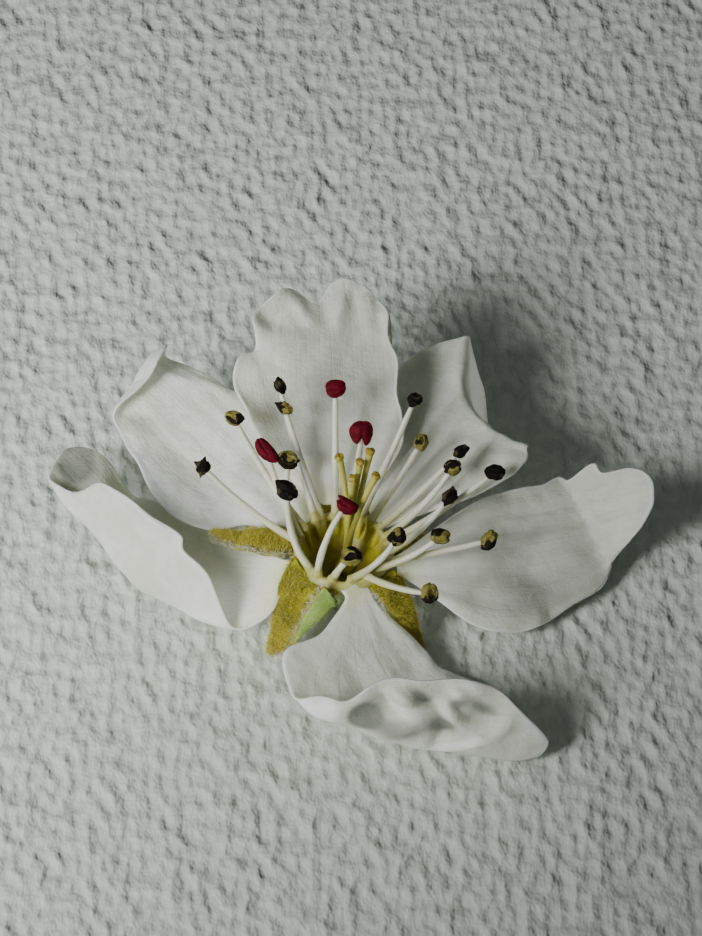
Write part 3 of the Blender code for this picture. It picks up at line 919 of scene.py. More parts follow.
@dataclass(frozen=True)
class PetalFinish(Finish):
    """Thin white petal tissue with fanning veins and tiny domed cells, with painted shade, a painted glow
    and a painted highlight on its margin.
    """

    # light: the whole petal's painted shade, a factor on its colours.
    light: float
    white: Colour = (0.97, 0.975, 0.90)
    vein: Colour = (0.76, 0.77, 0.66)
    claw: Colour = (0.97, 0.97, 0.88)
    root: Colour = (0.90, 0.88, 0.46)
    shade: Colour = (0.81, 0.82, 0.74)
    # edge: a paler margin, partly the thinner tissue and partly a painted highlight along lit edges.
    edge: Colour = (1.0, 1.0, 0.97)
    # The colour that patches of painted shade darken towards.
    painted_shade: Colour = (0.32, 0.33, 0.29)
    # A painted glow, emitted where patches of painted light lie and at the claws.
    glow: Colour = (0.17, 0.175, 0.15)

    def paint(self, shader: Shader) -> None:
        """Set the shader's sockets.

        Args:
            shader: The new material's shader.
        """
        place = shader.place()
        sheet = shader.sheet_place()
        along, across = shader.axis(sheet, 0), shader.axis(sheet, 1)
        wander = across + (shader.noise(place, size=2.6, detail=2.0) - 0.5) * 0.035
        main = wander.ridge(8.0) ** 10.0
        second = (wander + 0.03).ridge(17.0) ** 7.0 * along.over(0.15, 0.5)
        third = (wander + 0.01).ridge(39.0) ** 4.0 * along.over(0.35, 0.75)
        veins = main.largest(second * 0.7).largest(third * 0.45)
        cloud = shader.noise(place, size=3.2, detail=1.0)
        mottle = shader.noise(place, size=0.7, detail=2.0, roughness=0.6)
        blotch = (cloud * 0.6 + mottle * 0.4).over(0.38, 0.64)
        colour = shader.mix(blotch, self._lit(self.shade), self._lit(self.white))
        colour = shader.mix(veins * 0.30, colour, self._lit(self.vein))
        colour = shader.mix(1.0 - along.over(0.0, 0.24), colour, self.claw)
        colour = shader.mix((1.0 - along.over(0.01, 0.11)) * 0.7, colour, self.root)
        # The paler margin: partly the thinner tissue, partly a painted highlight.
        rim = (across - 0.5).size().largest(along - 0.5).over(0.478, 0.497)
        colour = shader.mix(rim * 0.4, colour, self.edge)
        # Tone above 0 paints shade into the colour; tone below 0 paints light, as colour and as a glow,
        # and the claws glow too.
        tone = shader.attribute("tone") + (cloud - 0.5) * 0.5 * shader.attribute("tone").size()
        colour = shader.mix(tone.over(0.05, 1.0), colour, self._lit(self.painted_shade))
        lit = (0.0 - tone).over(0.05, 1.0)
        colour = shader.mix(lit, colour, self.white)
        lit = lit.largest((1.0 - along.over(0.05, 0.42)) * 0.75)
        cells = shader.cells(place, 0.1)
        crepe = shader.noise(place, size=0.5, detail=2.0, roughness=0.6)
        normal = shader.bump(mottle, strength=0.6, depth=0.14)
        normal = shader.bump(crepe, strength=0.6, depth=0.07, under=normal)
        normal = shader.bump(1.0 - veins, strength=0.4, depth=0.04, under=normal)
        normal = shader.bump(1.0 - cells, strength=0.4, depth=0.025, under=normal)
        shader.set(
            Base_Color=colour,
            Roughness=cloud * 0.15 + 0.42,
            Normal=normal,
            Emission_Color=shader.mix(lit, (0.0, 0.0, 0.0), self.glow),
            Emission_Strength=1.0,
            Subsurface_Weight=1.0,
            Subsurface_Radius=(1.0, 1.0, 0.85),
            Subsurface_Scale=0.4 * MM,
            Specular_IOR_Level=0.35,
        )

    def _lit(self, colour: Colour) -> Colour:
        """A colour darkened by this petal's painted shade as a whole."""
        red, green, blue = colour
        return (red * self.light, green * self.light, blue * self.light)


@dataclass(frozen=True)
class SepalFinish(Finish):
    """One side of a sepal: felted tissue."""

    base: Colour
    dark: Colour
    tip: Colour

    def paint(self, shader: Shader) -> None:
        """Set the shader's sockets.

        Args:
            shader: The new material's shader.
        """
        place = shader.place()
        along = shader.axis(shader.sheet_place(), 0)
        felt = shader.noise(place, size=0.16, detail=4.0, roughness=0.65)
        patch = shader.noise(place, size=0.9, detail=3.0)
        colour = shader.mix(patch.over(0.35, 0.65), self.dark, self.base)
        colour = shader.mix(along.over(0.7, 1.0) * 0.8, colour, self.tip)
        colour = shader.mix(felt.over(0.55, 0.4) * 0.45, colour, self.dark)
        shader.set(
            Base_Color=colour,
            Roughness=felt * 0.2 + 0.7,
            Normal=shader.bump(felt, strength=0.8, depth=0.08),
            Subsurface_Weight=0.2,
            Subsurface_Radius=(1.0, 0.8, 0.3),
            Subsurface_Scale=0.4 * MM,
        )


@dataclass(frozen=True)
class HairFinish(Finish):
    """Fine pale hairs."""

    root: Colour
    tip: Colour

    def paint(self, shader: Shader) -> None:
        """Set the shader's sockets.

        Args:
            shader: The new material's shader.
        """
        colour = shader.mix(shader.attribute("tint"), self.root, self.tip)
        shader.set(Base_Color=colour, Roughness=0.5, Sheen_Weight=0.2)


@dataclass(frozen=True)
class CupFinish(Finish):
    """The cup: a pale rim, yellow inner walls with painted shade deep in the hollow, and a hairy green
    outside.
    """

    name: str = "cup_yellow_green"
    rim: Colour = (0.52, 0.49, 0.16)
    wall: Colour = (0.50, 0.45, 0.03)
    # floor: darker deep in the hollow, painted shade.
    floor: Colour = (0.21, 0.17, 0.012)
    outside: Colour = (0.30, 0.36, 0.13)

    def paint(self, shader: Shader) -> None:
        """Set the shader's sockets.

        Args:
            shader: The new material's shader.
        """
        place = shader.place()
        height = shader.axis(place, 2)
        inside = shader.attribute("inside")
        patch = shader.noise(place, size=0.7, detail=4.0)
        # The inner wall darkens towards the hollow's floor: painted shade.
        inner = shader.mix((height + (patch - 0.5) * 0.6).over(2.45, 3.7), self.floor, self.wall)
        colour = shader.mix(inside, self.outside, inner)
        colour = shader.mix((height + (patch - 0.5) * 0.5).over(3.5, 4.5), colour, self.rim)
        shader.set(
            Base_Color=colour,
            Roughness=patch * 0.2 + 0.35,
            Normal=shader.bump(shader.noise(place, size=0.18, detail=4.0), strength=0.6, depth=0.05),
            Subsurface_Weight=0.6,
            Subsurface_Radius=(1.0, 0.9, 0.25),
            Subsurface_Scale=0.5 * MM,
        )


@dataclass(frozen=True)
class LimbFinish(Finish):
    """A filament or style, smooth and a little see-through."""

    base: Colour
    foot: Colour
    foot_height: tuple[float, float]

    def paint(self, shader: Shader) -> None:
        """Set the shader's sockets.

        Args:
            shader: The new material's shader.
        """
        place = shader.place()
        low, high = self.foot_height
        tone = shader.noise(place, size=0.5, detail=3.0)
        height = shader.axis(place, 2) + (tone - 0.5) * 0.3
        colour = shader.mix(height.over(low, high), self.foot, self.base)
        shader.set(
            Base_Color=colour,
            Roughness=tone * 0.15 + 0.33,
            Normal=shader.bump(shader.noise(place, size=0.12, detail=3.0), strength=0.3, depth=0.02),
            Subsurface_Weight=0.9,
            Subsurface_Radius=(1.0, 0.95, 0.7),
            Subsurface_Scale=0.35 * MM,
        )


@dataclass(frozen=True)
class AntherFinish(Finish):
    """An anther of one ripeness, with its furrow or torn middle darker."""

    skin: Colour
    patch: Colour
    heart: Colour
    rim: Colour
    roughness: float
    grain: float

    def paint(self, shader: Shader) -> None:
        """Set the shader's sockets.

        Args:
            shader: The new material's shader.
        """
        place = shader.place()
        spots = shader.noise(place, size=0.35, detail=4.0, roughness=0.6)
        grain = shader.noise(place, size=0.09, detail=3.0, roughness=0.6)
        colour = shader.mix(spots.over(0.42, 0.62), self.skin, self.patch)
        heart = (shader.attribute("heart") + (spots - 0.5) * 0.3).over(0.25, 0.75)
        colour = shader.mix(heart, colour, self.heart)
        colour = shader.mix(shader.attribute("rim").over(0.2, 0.8), colour, self.rim)
        shader.set(
            Base_Color=colour,
            Roughness=grain * 0.2 + self.roughness,
            Normal=shader.bump(grain, strength=self.grain, depth=0.05),
            Specular_IOR_Level=0.12,
        )


@dataclass(frozen=True)
class PaperFinish(Finish):
    """The pale, faintly bumpy surface that the blossom lies on."""

    name: str = "pale_paper"
    colour: Colour = (0.64, 0.665, 0.63)
    # hollow: the paper's colour in its hollows, darker as painted shade.
    hollow: Colour = (0.56, 0.585, 0.55)
    grain: tuple[float, float, float] = (1.0, 0.62, 1.0)

    def paint(self, shader: Shader) -> None:
        """Set the shader's sockets.

        Args:
            shader: The new material's shader.
        """
        factors = {0: shader.place(), 1: self.grain}
        place = shader.node("ShaderNodeVectorMath", {"operation": "MULTIPLY"}, factors)
        swell = shader.noise(place, size=2.4, detail=0.0)
        lumps = shader.noise(place, size=0.66, detail=0.0)
        fibres = shader.noise(place, size=0.3, detail=1.0)
        normal = shader.bump(swell, strength=0.6, depth=0.5)
        normal = shader.bump(lumps, strength=1.0, depth=0.38, under=normal)
        normal = shader.bump(fibres, strength=0.8, depth=0.13, under=normal)
        shader.set(
            # The paper is darker in the low places of its lumps: painted shade.
            Base_Color=shader.mix(lumps.over(0.35, 0.65), self.hollow, self.colour),
            Roughness=0.75,
            Normal=normal,
        )


@dataclass
class Fur:
    """Many short tapered hairs on a mesh, in millimetres.

    A hair is a few rings of points and a tip. Each ring has its part of the length and its share
    of the thickness.
    """

    name: str
    count: int
    length: float
    seed: int
    thickness: float = 0.011
    lean: float = 0.6
    curl: float = 0.45
    scatter: float = 0.025
    lengths: tuple[float, float] = (0.4, 1.2)
    shades: tuple[float, float] = (0.4, 1.0)
    sides: int = 3
    rings: tuple[tuple[float, float], ...] = ((-0.1, 1.0), (0.5, 0.8))
    tip: float = 0.95
    tints: tuple[float, ...] = (0.0, 0.0, 0.0, 0.6, 0.6, 0.6, 1.0)

    def build(
        self, roots: np.ndarray, normals: np.ndarray, finish: bpy.types.Material, slot: str
    ) -> None:
        """Grow the hairs as one piece.

        Args:
            roots: Candidate places in millimetres.
            normals: The way that hairs stand at each.
            finish: The hairs' material.
            slot: Not used.
        """
        draw = np.random.default_rng(self.seed)
        chosen = draw.integers(0, len(roots), self.count)
        root = roots[chosen] + draw.normal(scale=self.scatter, size=(self.count, 3))
        way = normals[chosen] + draw.normal(scale=self.lean, size=(self.count, 3))
        way /= np.linalg.norm(way, axis=1, keepdims=True)
        side = np.cross(way, draw.normal(size=(self.count, 3)))
        side /= np.linalg.norm(side, axis=1, keepdims=True)
        third = np.cross(way, side)
        length = self.length * draw.uniform(*self.lengths, (self.count, 1))
        bend = draw.normal(scale=self.curl, size=(self.count, 1)) * length
        columns = []
        for part, width in self.rings:
            centre = root + way * length * part + side * bend * part**2
            for turn in range(self.sides):
                angle = 2 * math.pi * turn / self.sides
                rim = (side * math.cos(angle) + third * math.sin(angle)) * self.thickness * width
                columns.append(centre + rim)
        columns.append(root + way * length * self.tip + side * bend)
        points = np.stack(columns, axis=1).reshape(-1, 3)
        hair = [(2, 1, 0), (0, 1, 4, 3), (1, 2, 5, 4), (2, 0, 3, 5), (3, 4, 6), (4, 5, 6), (5, 3, 6)]
        starts = range(0, len(points), len(columns))
        faces = [tuple(start + index for index in face) for start in starts for face in hair]
        mesh = bpy.data.meshes.new(self.name)
        mesh.from_pydata((points * MM).tolist(), [], faces)
        hairs = linked(self.name, mesh)
        shades = np.repeat(draw.uniform(*self.shades, self.count), len(columns))
        write_attribute(hairs, "tint", np.tile(self.tints, self.count) * shades)
        dress(hairs, finish)
        finish_piece(hairs)


@dataclass
class Sheet:
    """What petals and sepals share: a flat outline with small heights, bent and set in place."""

    blade: Blade

    def new_grid(self, steps: tuple[int, int]) -> tuple[bpy.types.Object, np.ndarray, np.ndarray]:
        """Lay a grid over the sheet's middle surface.

        Args:
            steps: How many faces it has along and across.

        Returns:
            The thin mesh, and where each vertex is along (0 to 1) and across (-1 to 1).
        """
        deselect()
        bpy.ops.mesh.primitive_grid_add(x_subdivisions=steps[0], y_subdivisions=steps[1], size=2.0)
        sheet = bpy.context.object
        sheet.name = f"{self.blade.name}_skin"
        sheet.data.name = sheet.name
        sheet.data.uv_layers[0].name = UV_MAP
        grid = read_vertices(sheet)
        along, across = (grid[:, 0] + 1.0) / 2.0, grid[:, 1]
        write_points(sheet, self.surface(along, across))
        return sheet, along, across

    def surface(self, along: np.ndarray, across: np.ndarray) -> np.ndarray:
        """The sheet's middle surface, in millimetres.

        Args:
            along: From 0 at the root to 1 at the tip.
            across: From -1 at the right margin to 1 at the left one.

        Returns:
            Points in place on the blossom.
        """
        points = flat_outline(self.blade, along, across)
        points[:, 2] += self.heights(points, along, across)
        for bend in self.blade.bends:
            points = bent(points, bend)
        return placed(points, self.blade)

    def heights(self, points: np.ndarray, along: np.ndarray, across: np.ndarray) -> np.ndarray:
        """The small heights of the flat sheet, which petals and sepals have in their own way."""
        raise NotImplementedError


@dataclass
class Petal(Sheet):
    """One petal: a shaped grid with its relief, thin at its margin."""

    relief: Relief
    thickness: float = 0.22
    margin: float = 0.45
    least: float = 0.1
    thin_tip: float = 0.9
    thin_side: float = 0.86
    wander: float = 5.0
    wander_seed: int = 50
    wrinkle_seed: int = 90
    wrinkle_waves: int = 24
    stretch: tuple[float, float] = (0.6, 1.0)
    steps: tuple[int, int] = (128, 104)

    def build(self, skin: bpy.types.Material) -> None:
        """Model the petal.

        Args:
            skin: The petal's finish.
        """
        petal, along, across = self.new_grid(self.steps)
        flat = flat_outline(self.blade, along, across)
        # The tone attribute holds painted shade above 0 and painted light below 0.
        write_attribute(petal, "tone", swollen(flat, self.relief.painted_light_and_shade))
        inner = 1.0 - smooth(along, self.thin_tip, 1.0)
        edge = 1.0 - inner * (1.0 - smooth(np.abs(across), self.thin_side, 1.0))
        body = petal.vertex_groups.new(name="body")
        for index, weight in enumerate(1.0 - (1.0 - self.margin) * edge):
            body.add((index,), float(weight), "REPLACE")
        solidify = thicken(petal, self.thickness)
        solidify.vertex_group = "body"
        solidify.thickness_vertex_group = self.least
        apply_all(petal)
        dress(petal, skin)
        finish_piece(petal, (self.blade.name,))

    def heights(self, points: np.ndarray, along: np.ndarray, across: np.ndarray) -> np.ndarray:
        """Heights of the ruffled margin, the pleats, the dents, the fine wrinkles and the swells.

        Args:
            points: Points of the flat sheet.
            along: Where each is, from 0 at the root to 1 at the tip.
            across: Where each is, from -1 at the right margin to 1 at the left one.

        Returns:
            The height at each point.
        """
        relief, flat = self.relief, points[:, :2]
        bearing = np.arctan2(points[:, 1], points[:, 0] - 0.45 * self.blade.length)
        edge = smooth(1.0 - (1.0 - along**4) * (1.0 - np.abs(across) ** 4), 0.12, 0.9)
        near_tip = smooth(along, 0.2, 0.6)
        wander = soft_noise(flat, self.wander, relief.seed + self.wander_seed)
        ruffle = relief.ruffle * edge * near_tip * np.sin(relief.ruffles * bearing + 2.0 * wander)
        pleat = relief.pleat * np.sin(2 * np.pi * relief.pleats * across / 2 + wander)
        pleat *= smooth(along, 0.03, 0.25) * (1.0 - 0.7 * smooth(along, 0.5, 0.95))
        dent = relief.dent * soft_noise(flat, relief.dent_size, relief.seed) * smooth(along, 0.1, 0.4)
        seed = relief.seed + self.wrinkle_seed
        stretched = flat * np.array(self.stretch)
        wrinkle = relief.wrinkle * soft_noise(stretched, relief.wrinkle_size, seed, self.wrinkle_waves)
        total = ruffle + pleat + dent + wrinkle * smooth(along, 0.05, 0.3)
        return total + swollen(points, relief.swells)


@dataclass
class Sepal(Sheet):
    """One sepal with its two felted sides and its hairs, each coat by its count and length."""

    seed: int
    thickness: float = 0.34
    lump: float = 0.06
    lump_size: float = 0.8
    steps: tuple[int, int] = (64, 48)
    upper_hairs: tuple[int, float] = (3200, 0.40)
    lower_hairs: tuple[int, float] = (700, 0.26)
    fringe: tuple[int, float] = (1500, 0.46)
    bare_root: float = 0.06
    fringe_side: float = 0.93
    fringe_tip: float = 0.95
    fringe_rise: float = 0.4

    def build(self, finishes: dict[str, bpy.types.Material]) -> None:
        """Model the sepal and its hairs.

        Args:
            finishes: The blossom's materials by name.
        """
        sepal, along, across = self.new_grid(self.steps)
        points = self.surface(along, across)
        normals = read_vertices(sepal, "normal")
        thicken(sepal, self.thickness).material_offset = 1
        dress(sepal, finishes["sepal_upper"], finishes["sepal_lower"])
        apply_all(sepal)
        sepal.data.shade_smooth()
        finish_piece(sepal, (self.blade.name,))
        half = normals * self.thickness / 2
        free = along > self.bare_root
        margin = free & ((np.abs(across) > self.fringe_side) | (along > self.fringe_tip))
        outward = np.where(across[:, None] > 0, 1.0, -1.0) * self._sideways(points, along, across)
        outward += normals * self.fringe_rise
        coats = (
            ("upper_hairs", self.upper_hairs, "hair_yellow", points + half, normals, free),
            ("lower_hairs", self.lower_hairs, "hair_white", points - half, -normals, free),
            ("fringe", self.fringe, "hair_white", points, outward, margin),
        )
        for coat, (label, (count, length), finish, roots, ways, mask) in enumerate(coats):
            fur = Fur(f"{self.blade.name}_{label}", count, length, seed=self.seed * 10 + coat)
            fur.build(roots[mask], ways[mask], finishes[finish], "sepal")

    def heights(self, points: np.ndarray, along: np.ndarray, across: np.ndarray) -> np.ndarray:
        """Heights of the sepal's soft lumps."""
        return self.lump * soft_noise(points[:, :2], self.lump_size, self.seed)

    def _sideways(self, points: np.ndarray, along: np.ndarray, across: np.ndarray) -> np.ndarray:
        """Find the way toward the left margin, from each point's neighbours across the grid.

        Args:
            points: The sepal's points.
            along: Where each is, from 0 at the root to 1 at the tip.
            across: Where each is, from -1 at the right margin to 1 at the left one.

        Returns:
            A unit vector for each point.
        """
        order = np.lexsort((across, np.round(along, 5)))
        rows = points[order].reshape(self.steps[0] + 1, self.steps[1] + 1, 3)
        leftward = np.gradient(rows, axis=1)
        leftward /= np.linalg.norm(leftward, axis=2, keepdims=True)
        sideways = np.empty_like(points)
        sideways[order] = leftward.reshape(-1, 3)
        return sideways


@dataclass
class Cup:
    """The cup with its hollow, its stalk's stub and the filament feet that run into its rim."""

    turns: int = 96
    lump: float = 0.04
    lump_size: float = 0.9
    seed: int = 21
    hairs: int = 1500
    hair_length: float = 0.22
    grain: float = 0.065
    soften_rounds: int = 6
    ring_sides: int = 12
    ring_tube: float = 0.2
    ring_radius: float = RING_RADIUS + 0.08
    ring_height: float = RING_HEIGHT - 0.32
    wall_heights: tuple[float, ...] = (CUP_FLOOR, 3.1, 3.6, RIM_HEIGHT)
    wall_radii: tuple[float, ...] = (1.8, 2.2, 2.5, 2.64)
    floor_heights: tuple[float, float] = (2.1, 2.3)
    hair_gap: float = 0.15
    hair_heights: tuple[float, float] = (0.3, 4.0)
    foot_radii: tuple[float, ...] = (0.12, 0.2, 0.27, 0.25, 0.21, 0.16)
    foot_places: tuple[tuple[float, float], ...] = (
        (1.95, RING_HEIGHT - 1.35),
        (RING_RADIUS - 0.12, RING_HEIGHT - 0.55),
    )

    def build(self, finishes: dict[str, bpy.types.Material]) -> None:
        """Turn the cup, grow the filaments' feet out of it, and give it its hairs.

        Args:
            finishes: The blossom's materials by name.
        """
        feet = [self._foot(number, stamen) for number, stamen in enumerate(STAMENS)]
        cup = join("cup_skin", [self._turned(), self._ring()] + feet)
        melt = cup.modifiers.new("Melt", "REMESH")
        melt.mode = "VOXEL"
        melt.voxel_size = self.grain * MM
        soften = cup.modifiers.new("Soften", "SMOOTH")
        soften.factor = 0.5
        soften.iterations = self.soften_rounds
        apply_all(cup)
        points, normals = read_vertices(cup) / MM, read_vertices(cup, "normal")
        height = points[:, 2]
        lump = self.lump * soft_noise(points, self.lump_size, self.seed) * smooth(height, 0.2, 1.0)
        write_points(cup, points + normals * lump[:, None])
        radius = np.hypot(points[:, 0], points[:, 1])
        middle = np.interp(height, self.wall_heights, self.wall_radii)
        inside = smooth(middle - radius, -0.1, 0.1) * smooth(height, *self.floor_heights)
        write_attribute(cup, "inside", inside)
        dress(cup, finishes["cup"])
        finish_piece(cup, ("calyx_cup",))
        low, high = self.hair_heights
        outside = (radius > middle + self.hair_gap) & (height > low) & (height < high)
        fur = Fur("cup_hairs", self.hairs, self.hair_length, seed=self.seed)
        fur.build(points[outside], normals[outside], finishes["hair_white"], "cup")

    def _turned(self) -> bpy.types.Object:
        """Turn the cup's own body from its profile.

        Returns:
            The body.
        """
        inner = [
            (0.0, CUP_FLOOR), (0.7, CUP_FLOOR), (1.3, CUP_FLOOR + 0.12), (1.9, CUP_FLOOR + 0.65),
            (2.3, RIM_HEIGHT - 0.75), (RIM_RADIUS - CUP_WALL, RIM_HEIGHT - 0.15),
        ]
        outer = [
            (RIM_RADIUS - CUP_WALL / 2, RIM_HEIGHT), (RIM_RADIUS, RIM_HEIGHT - 0.15),
            (2.7, RIM_HEIGHT - 0.8), (2.25, RIM_HEIGHT - 1.7),
            (1.85, 1.8), (1.5, 0.95), (1.1, 0.45), (STALK_RADIUS, 0.0), (0.0, 0.0),
        ]
        mesh = bpy.data.meshes.new("cup_body")
        profile = [(radius * MM, 0.0, height * MM) for radius, height in inner + outer]
        edges = [(step, step + 1) for step in range(len(profile) - 1)]
        mesh.from_pydata(profile, edges, [])
        body = linked("cup_body", mesh)
        turn = body.modifiers.new("Turn", "SCREW")
        turn.steps = self.turns
        turn.render_steps = self.turns
        turn.use_merge_vertices = True
        turn.merge_threshold = WELD
        apply_all(body)
        pick(body)
        bpy.ops.object.mode_set(mode="EDIT")
        bpy.ops.mesh.select_all(action="SELECT")
        bpy.ops.mesh.remove_doubles(threshold=WELD)
        bpy.ops.mesh.normals_make_consistent(inside=False)
        bpy.ops.object.mode_set(mode="OBJECT")
        return body

    def _ring(self) -> bpy.types.Object:
        """Lay the low ring inside the rim that the filaments grow from.

        Returns:
            The ring.
        """
        deselect()
        bpy.ops.mesh.primitive_torus_add(
            major_segments=self.turns,
            minor_segments=self.ring_sides,
            major_radius=self.ring_radius * MM,
            minor_radius=self.ring_tube * MM,
            location=(0.0, 0.0, self.ring_height * MM),
        )
        ring = bpy.context.object
        bpy.ops.object.transform_apply(location=True, rotation=False, scale=False)
        return ring

    def _foot(self, number: int, stamen: Stamen) -> bpy.types.Object:
        """Run a filament's foot up the cup's wall and into the filament.

        Args:
            number: The stamen's number.
            stamen: The stamen.

        Returns:
            The foot.
        """
        out = direction(stamen.place, 0.0)
        path = [out * radius + np.array([0.0, 0.0, height]) for radius, height in self.foot_places]
        above = stamen.path(FILAMENT_STEPS)[: len(self.foot_radii) - len(path)]
        return make_rod(f"foot_{number}", np.vstack([*path, above]), np.array(self.foot_radii))


@dataclass
class Stamens:
    """The filaments and their anthers."""

    root_radius: float = 0.225
    tip_radius: float = 0.14
    unevenness: float = 0.05
    uneven_waves: float = 17.0
    waist: float = 0.4
    waist_start: float = 0.88
    anther_depth: float = 0.62
    knob_rise: float = 0.1
    knob_spread: float = 0.07

    def build(self, finishes: dict[str, bpy.types.Material]) -> None:
        """Model every stamen and join them into pieces.

        Args:
            finishes: The blossom's materials by name.
        """
        rods: list[bpy.types.Object] = []
        heads: dict[AntherKind, list[bpy.types.Object]] = {}
        part = np.linspace(0.0, 1.0, FILAMENT_STEPS + 1)
        for number, stamen in enumerate(STAMENS):
            path = stamen.path(FILAMENT_STEPS)
            radii = self.root_radius + (self.tip_radius - self.root_radius) * part
            radii *= 1.0 + self.unevenness * np.sin(self.uneven_waves * part + number)
            radii *= 1.0 - self.waist * smooth(part, self.waist_start, 1.0)
            rods.append(make_rod(f"filament_{number}", path, radii))
            head = self._anther(stamen.anther, path[-1], number)
            heads.setdefault(stamen.anther.kind, []).append(head)
        finish_joined("filaments", rods, finishes["filament"], ("stamens",))
        for kind, group in heads.items():
            name = f"anther_{kind.value}"
            finish_joined(f"anthers_{kind.value}", group, finishes[name])

    def _anther(self, anther: Anther, centre: np.ndarray, number: int) -> bpy.types.Object:
        """Shape one anther from an ico sphere.

        Args:
            anther: Its size and ripeness.
            centre: Where the filament ends, in millimetres.
            number: The stamen's number, which seeds its small shape.

        Returns:
            The anther.
        """
        head = new_ball(5)
        ball = read_vertices(head)
        shapes = {CLOSED: self._closed, OPEN: self._open, SPENT: self._spent}
        shape, heart, rim = shapes[anther.kind](anther, ball, number)
        for bearing, size in anther.knobs:
            toward = math.radians(bearing)
            out = np.array([math.cos(toward), math.sin(toward), self.knob_rise])
            lump = np.exp(-np.sum((ball - out) ** 2, axis=1) / self.knob_spread) * size
            shape += lump[:, None] * out
        turn = math.radians(anther.turn)
        across = np.array([1.0, 0.0, 0.0])
        upward = direction(90.0, 90.0 - FRONT_RISE)
        facing = np.cross(across, upward)
        lengthwise = across * math.cos(turn) + upward * math.sin(turn)
        crosswise = upward * math.cos(turn) - across * math.sin(turn)
        axes = np.array(
            [lengthwise * anther.long / 2, crosswise * anther.wide / 2, facing * self.anther_depth / 2]
        )
        write_points(head, centre + shape @ axes)
        write_attribute(head, "heart", heart)
        write_attribute(head, "rim", rim)
        return head

    def _closed(self, anther: Anther, ball: np.ndarray, number: int) -> tuple[np.ndarray, ...]:
        """Shape two plump sacs side by side, with a fine furrow between them.

        Args:
            anther: The anther.
            ball: Points of a sphere with a radius of 1.
            number: The stamen's number.

        Returns:
            The shaped points, how dark each is and how pale each is.
        """
        x, y = ball[:, 0], ball[:, 1]
        furrow = np.exp(-((y / 0.16) ** 2)) * smooth(x, 0.7, -0.3)
        shape = ball.copy()
        shape[:, 2] *= 1.0 - 0.24 * furrow
        near_end = smooth(x, 0.2, -1.0)
        shape[:, 0] *= 1.0 - (0.06 + anther.split * 0.5 * near_end) * np.exp(-((y / 0.2) ** 2))
        shape[:, 1] += anther.kidney * (x**2 - 0.3)
        rough = 0.09 * soft_noise(ball, 0.9, Draw.CLOSED_LUMPS + number)
        rough = rough + 0.02 * soft_noise(ball, 0.2, Draw.CLOSED_GRAIN + number)
        shape *= (1.0 + rough)[:, None]
        return shape, furrow * 0.45, np.zeros(len(ball))

    def _open(self, anther: Anther, ball: np.ndarray, number: int) -> tuple[np.ndarray, ...]:
        """Shape split walls with curled pale lips round a dark, grainy hollow.

        Args:
            anther: The anther.
            ball: Points of a sphere with a radius of 1.
            number: The stamen's number.

        Returns:
            The shaped points, how dark each is and how pale each is.
        """
        x, y, z = ball[:, 0], ball[:, 1], ball[:, 2]
        off = np.random.default_rng(Draw.HOLLOW_PLACE + number).uniform(-0.2, 0.2, 2)
        reach = np.hypot((x - off[0]) / 0.6, (y - off[1]) / 0.42)
        reach = reach + 0.28 * soft_noise(ball, 0.6, Draw.HOLLOW_EDGE + number)
        hollow = anther.hollow * smooth(reach, 1.05, 0.72) * smooth(z, -0.1, 0.25)
        lip = np.exp(-(((reach - 1.12) / 0.16) ** 2)) * smooth(z, -0.1, 0.3)
        shape = ball.copy()
        shape[:, 2] -= 0.55 * hollow * smooth(reach, 1.0, 0.4)
        shape *= (1.0 + 0.07 * lip)[:, None]
        furrow = np.exp(-((y / 0.16) ** 2)) * smooth(reach, 0.7, 1.1)
        crumple = 0.08 * soft_noise(ball, 0.6, Draw.OPEN_LUMPS + number)
        crumple = crumple + 0.03 * soft_noise(ball, 0.2, Draw.OPEN_GRAIN + number)
        shape *= (1.0 + crumple - 0.12 * furrow)[:, None]
        stain = soft_noise(ball, 0.9, Draw.STAIN + number) * 0.5 + 0.5
        stain = smooth(stain, anther.tint - 0.1, anther.tint + 0.1)
        if anther.burnt is not None:
            burn = ball @ direction(anther.burnt - anther.turn, 20.0)
            burn = burn + 0.15 * soft_noise(ball, 0.5, Draw.BURN + number)
            stain = np.maximum(stain, smooth(burn, 0.35, 0.6))
        patch = smooth(soft_noise(ball, 0.5, Draw.LIP + number), -0.2, 0.4)
        return shape, np.clip(hollow + 0.9 * stain, 0.0, 1.0), lip * patch * (1.0 - 0.5 * stain)

    def _spent(self, anther: Anther, ball: np.ndarray, number: int) -> tuple[np.ndarray, ...]:
        """Shape a shrivelled, nearly black crumb.

        Args:
            anther: The anther.
            ball: Points of a sphere with a radius of 1.
            number: The stamen's number.

        Returns:
            The shaped points, how dark each is and how pale each is.
        """
        furrow = np.exp(-((ball[:, 1] / 0.2) ** 2)) * smooth(ball[:, 2], 0.0, 0.4)
        crumple = 0.12 * soft_noise(ball, 0.8, Draw.SPENT_LUMPS + number)
        crumple = crumple + 0.06 * soft_noise(ball, 0.3, Draw.SPENT_GRAIN + number)
        shape = ball * (1.0 + crumple - 0.2 * furrow)[:, None]
        olive = smooth(soft_noise(ball, 1.0, Draw.SPENT_OLIVE + number) * 0.5 + 0.5, 0.75, 0.95)
        return shape, 1.0 - olive, olive * 0.4


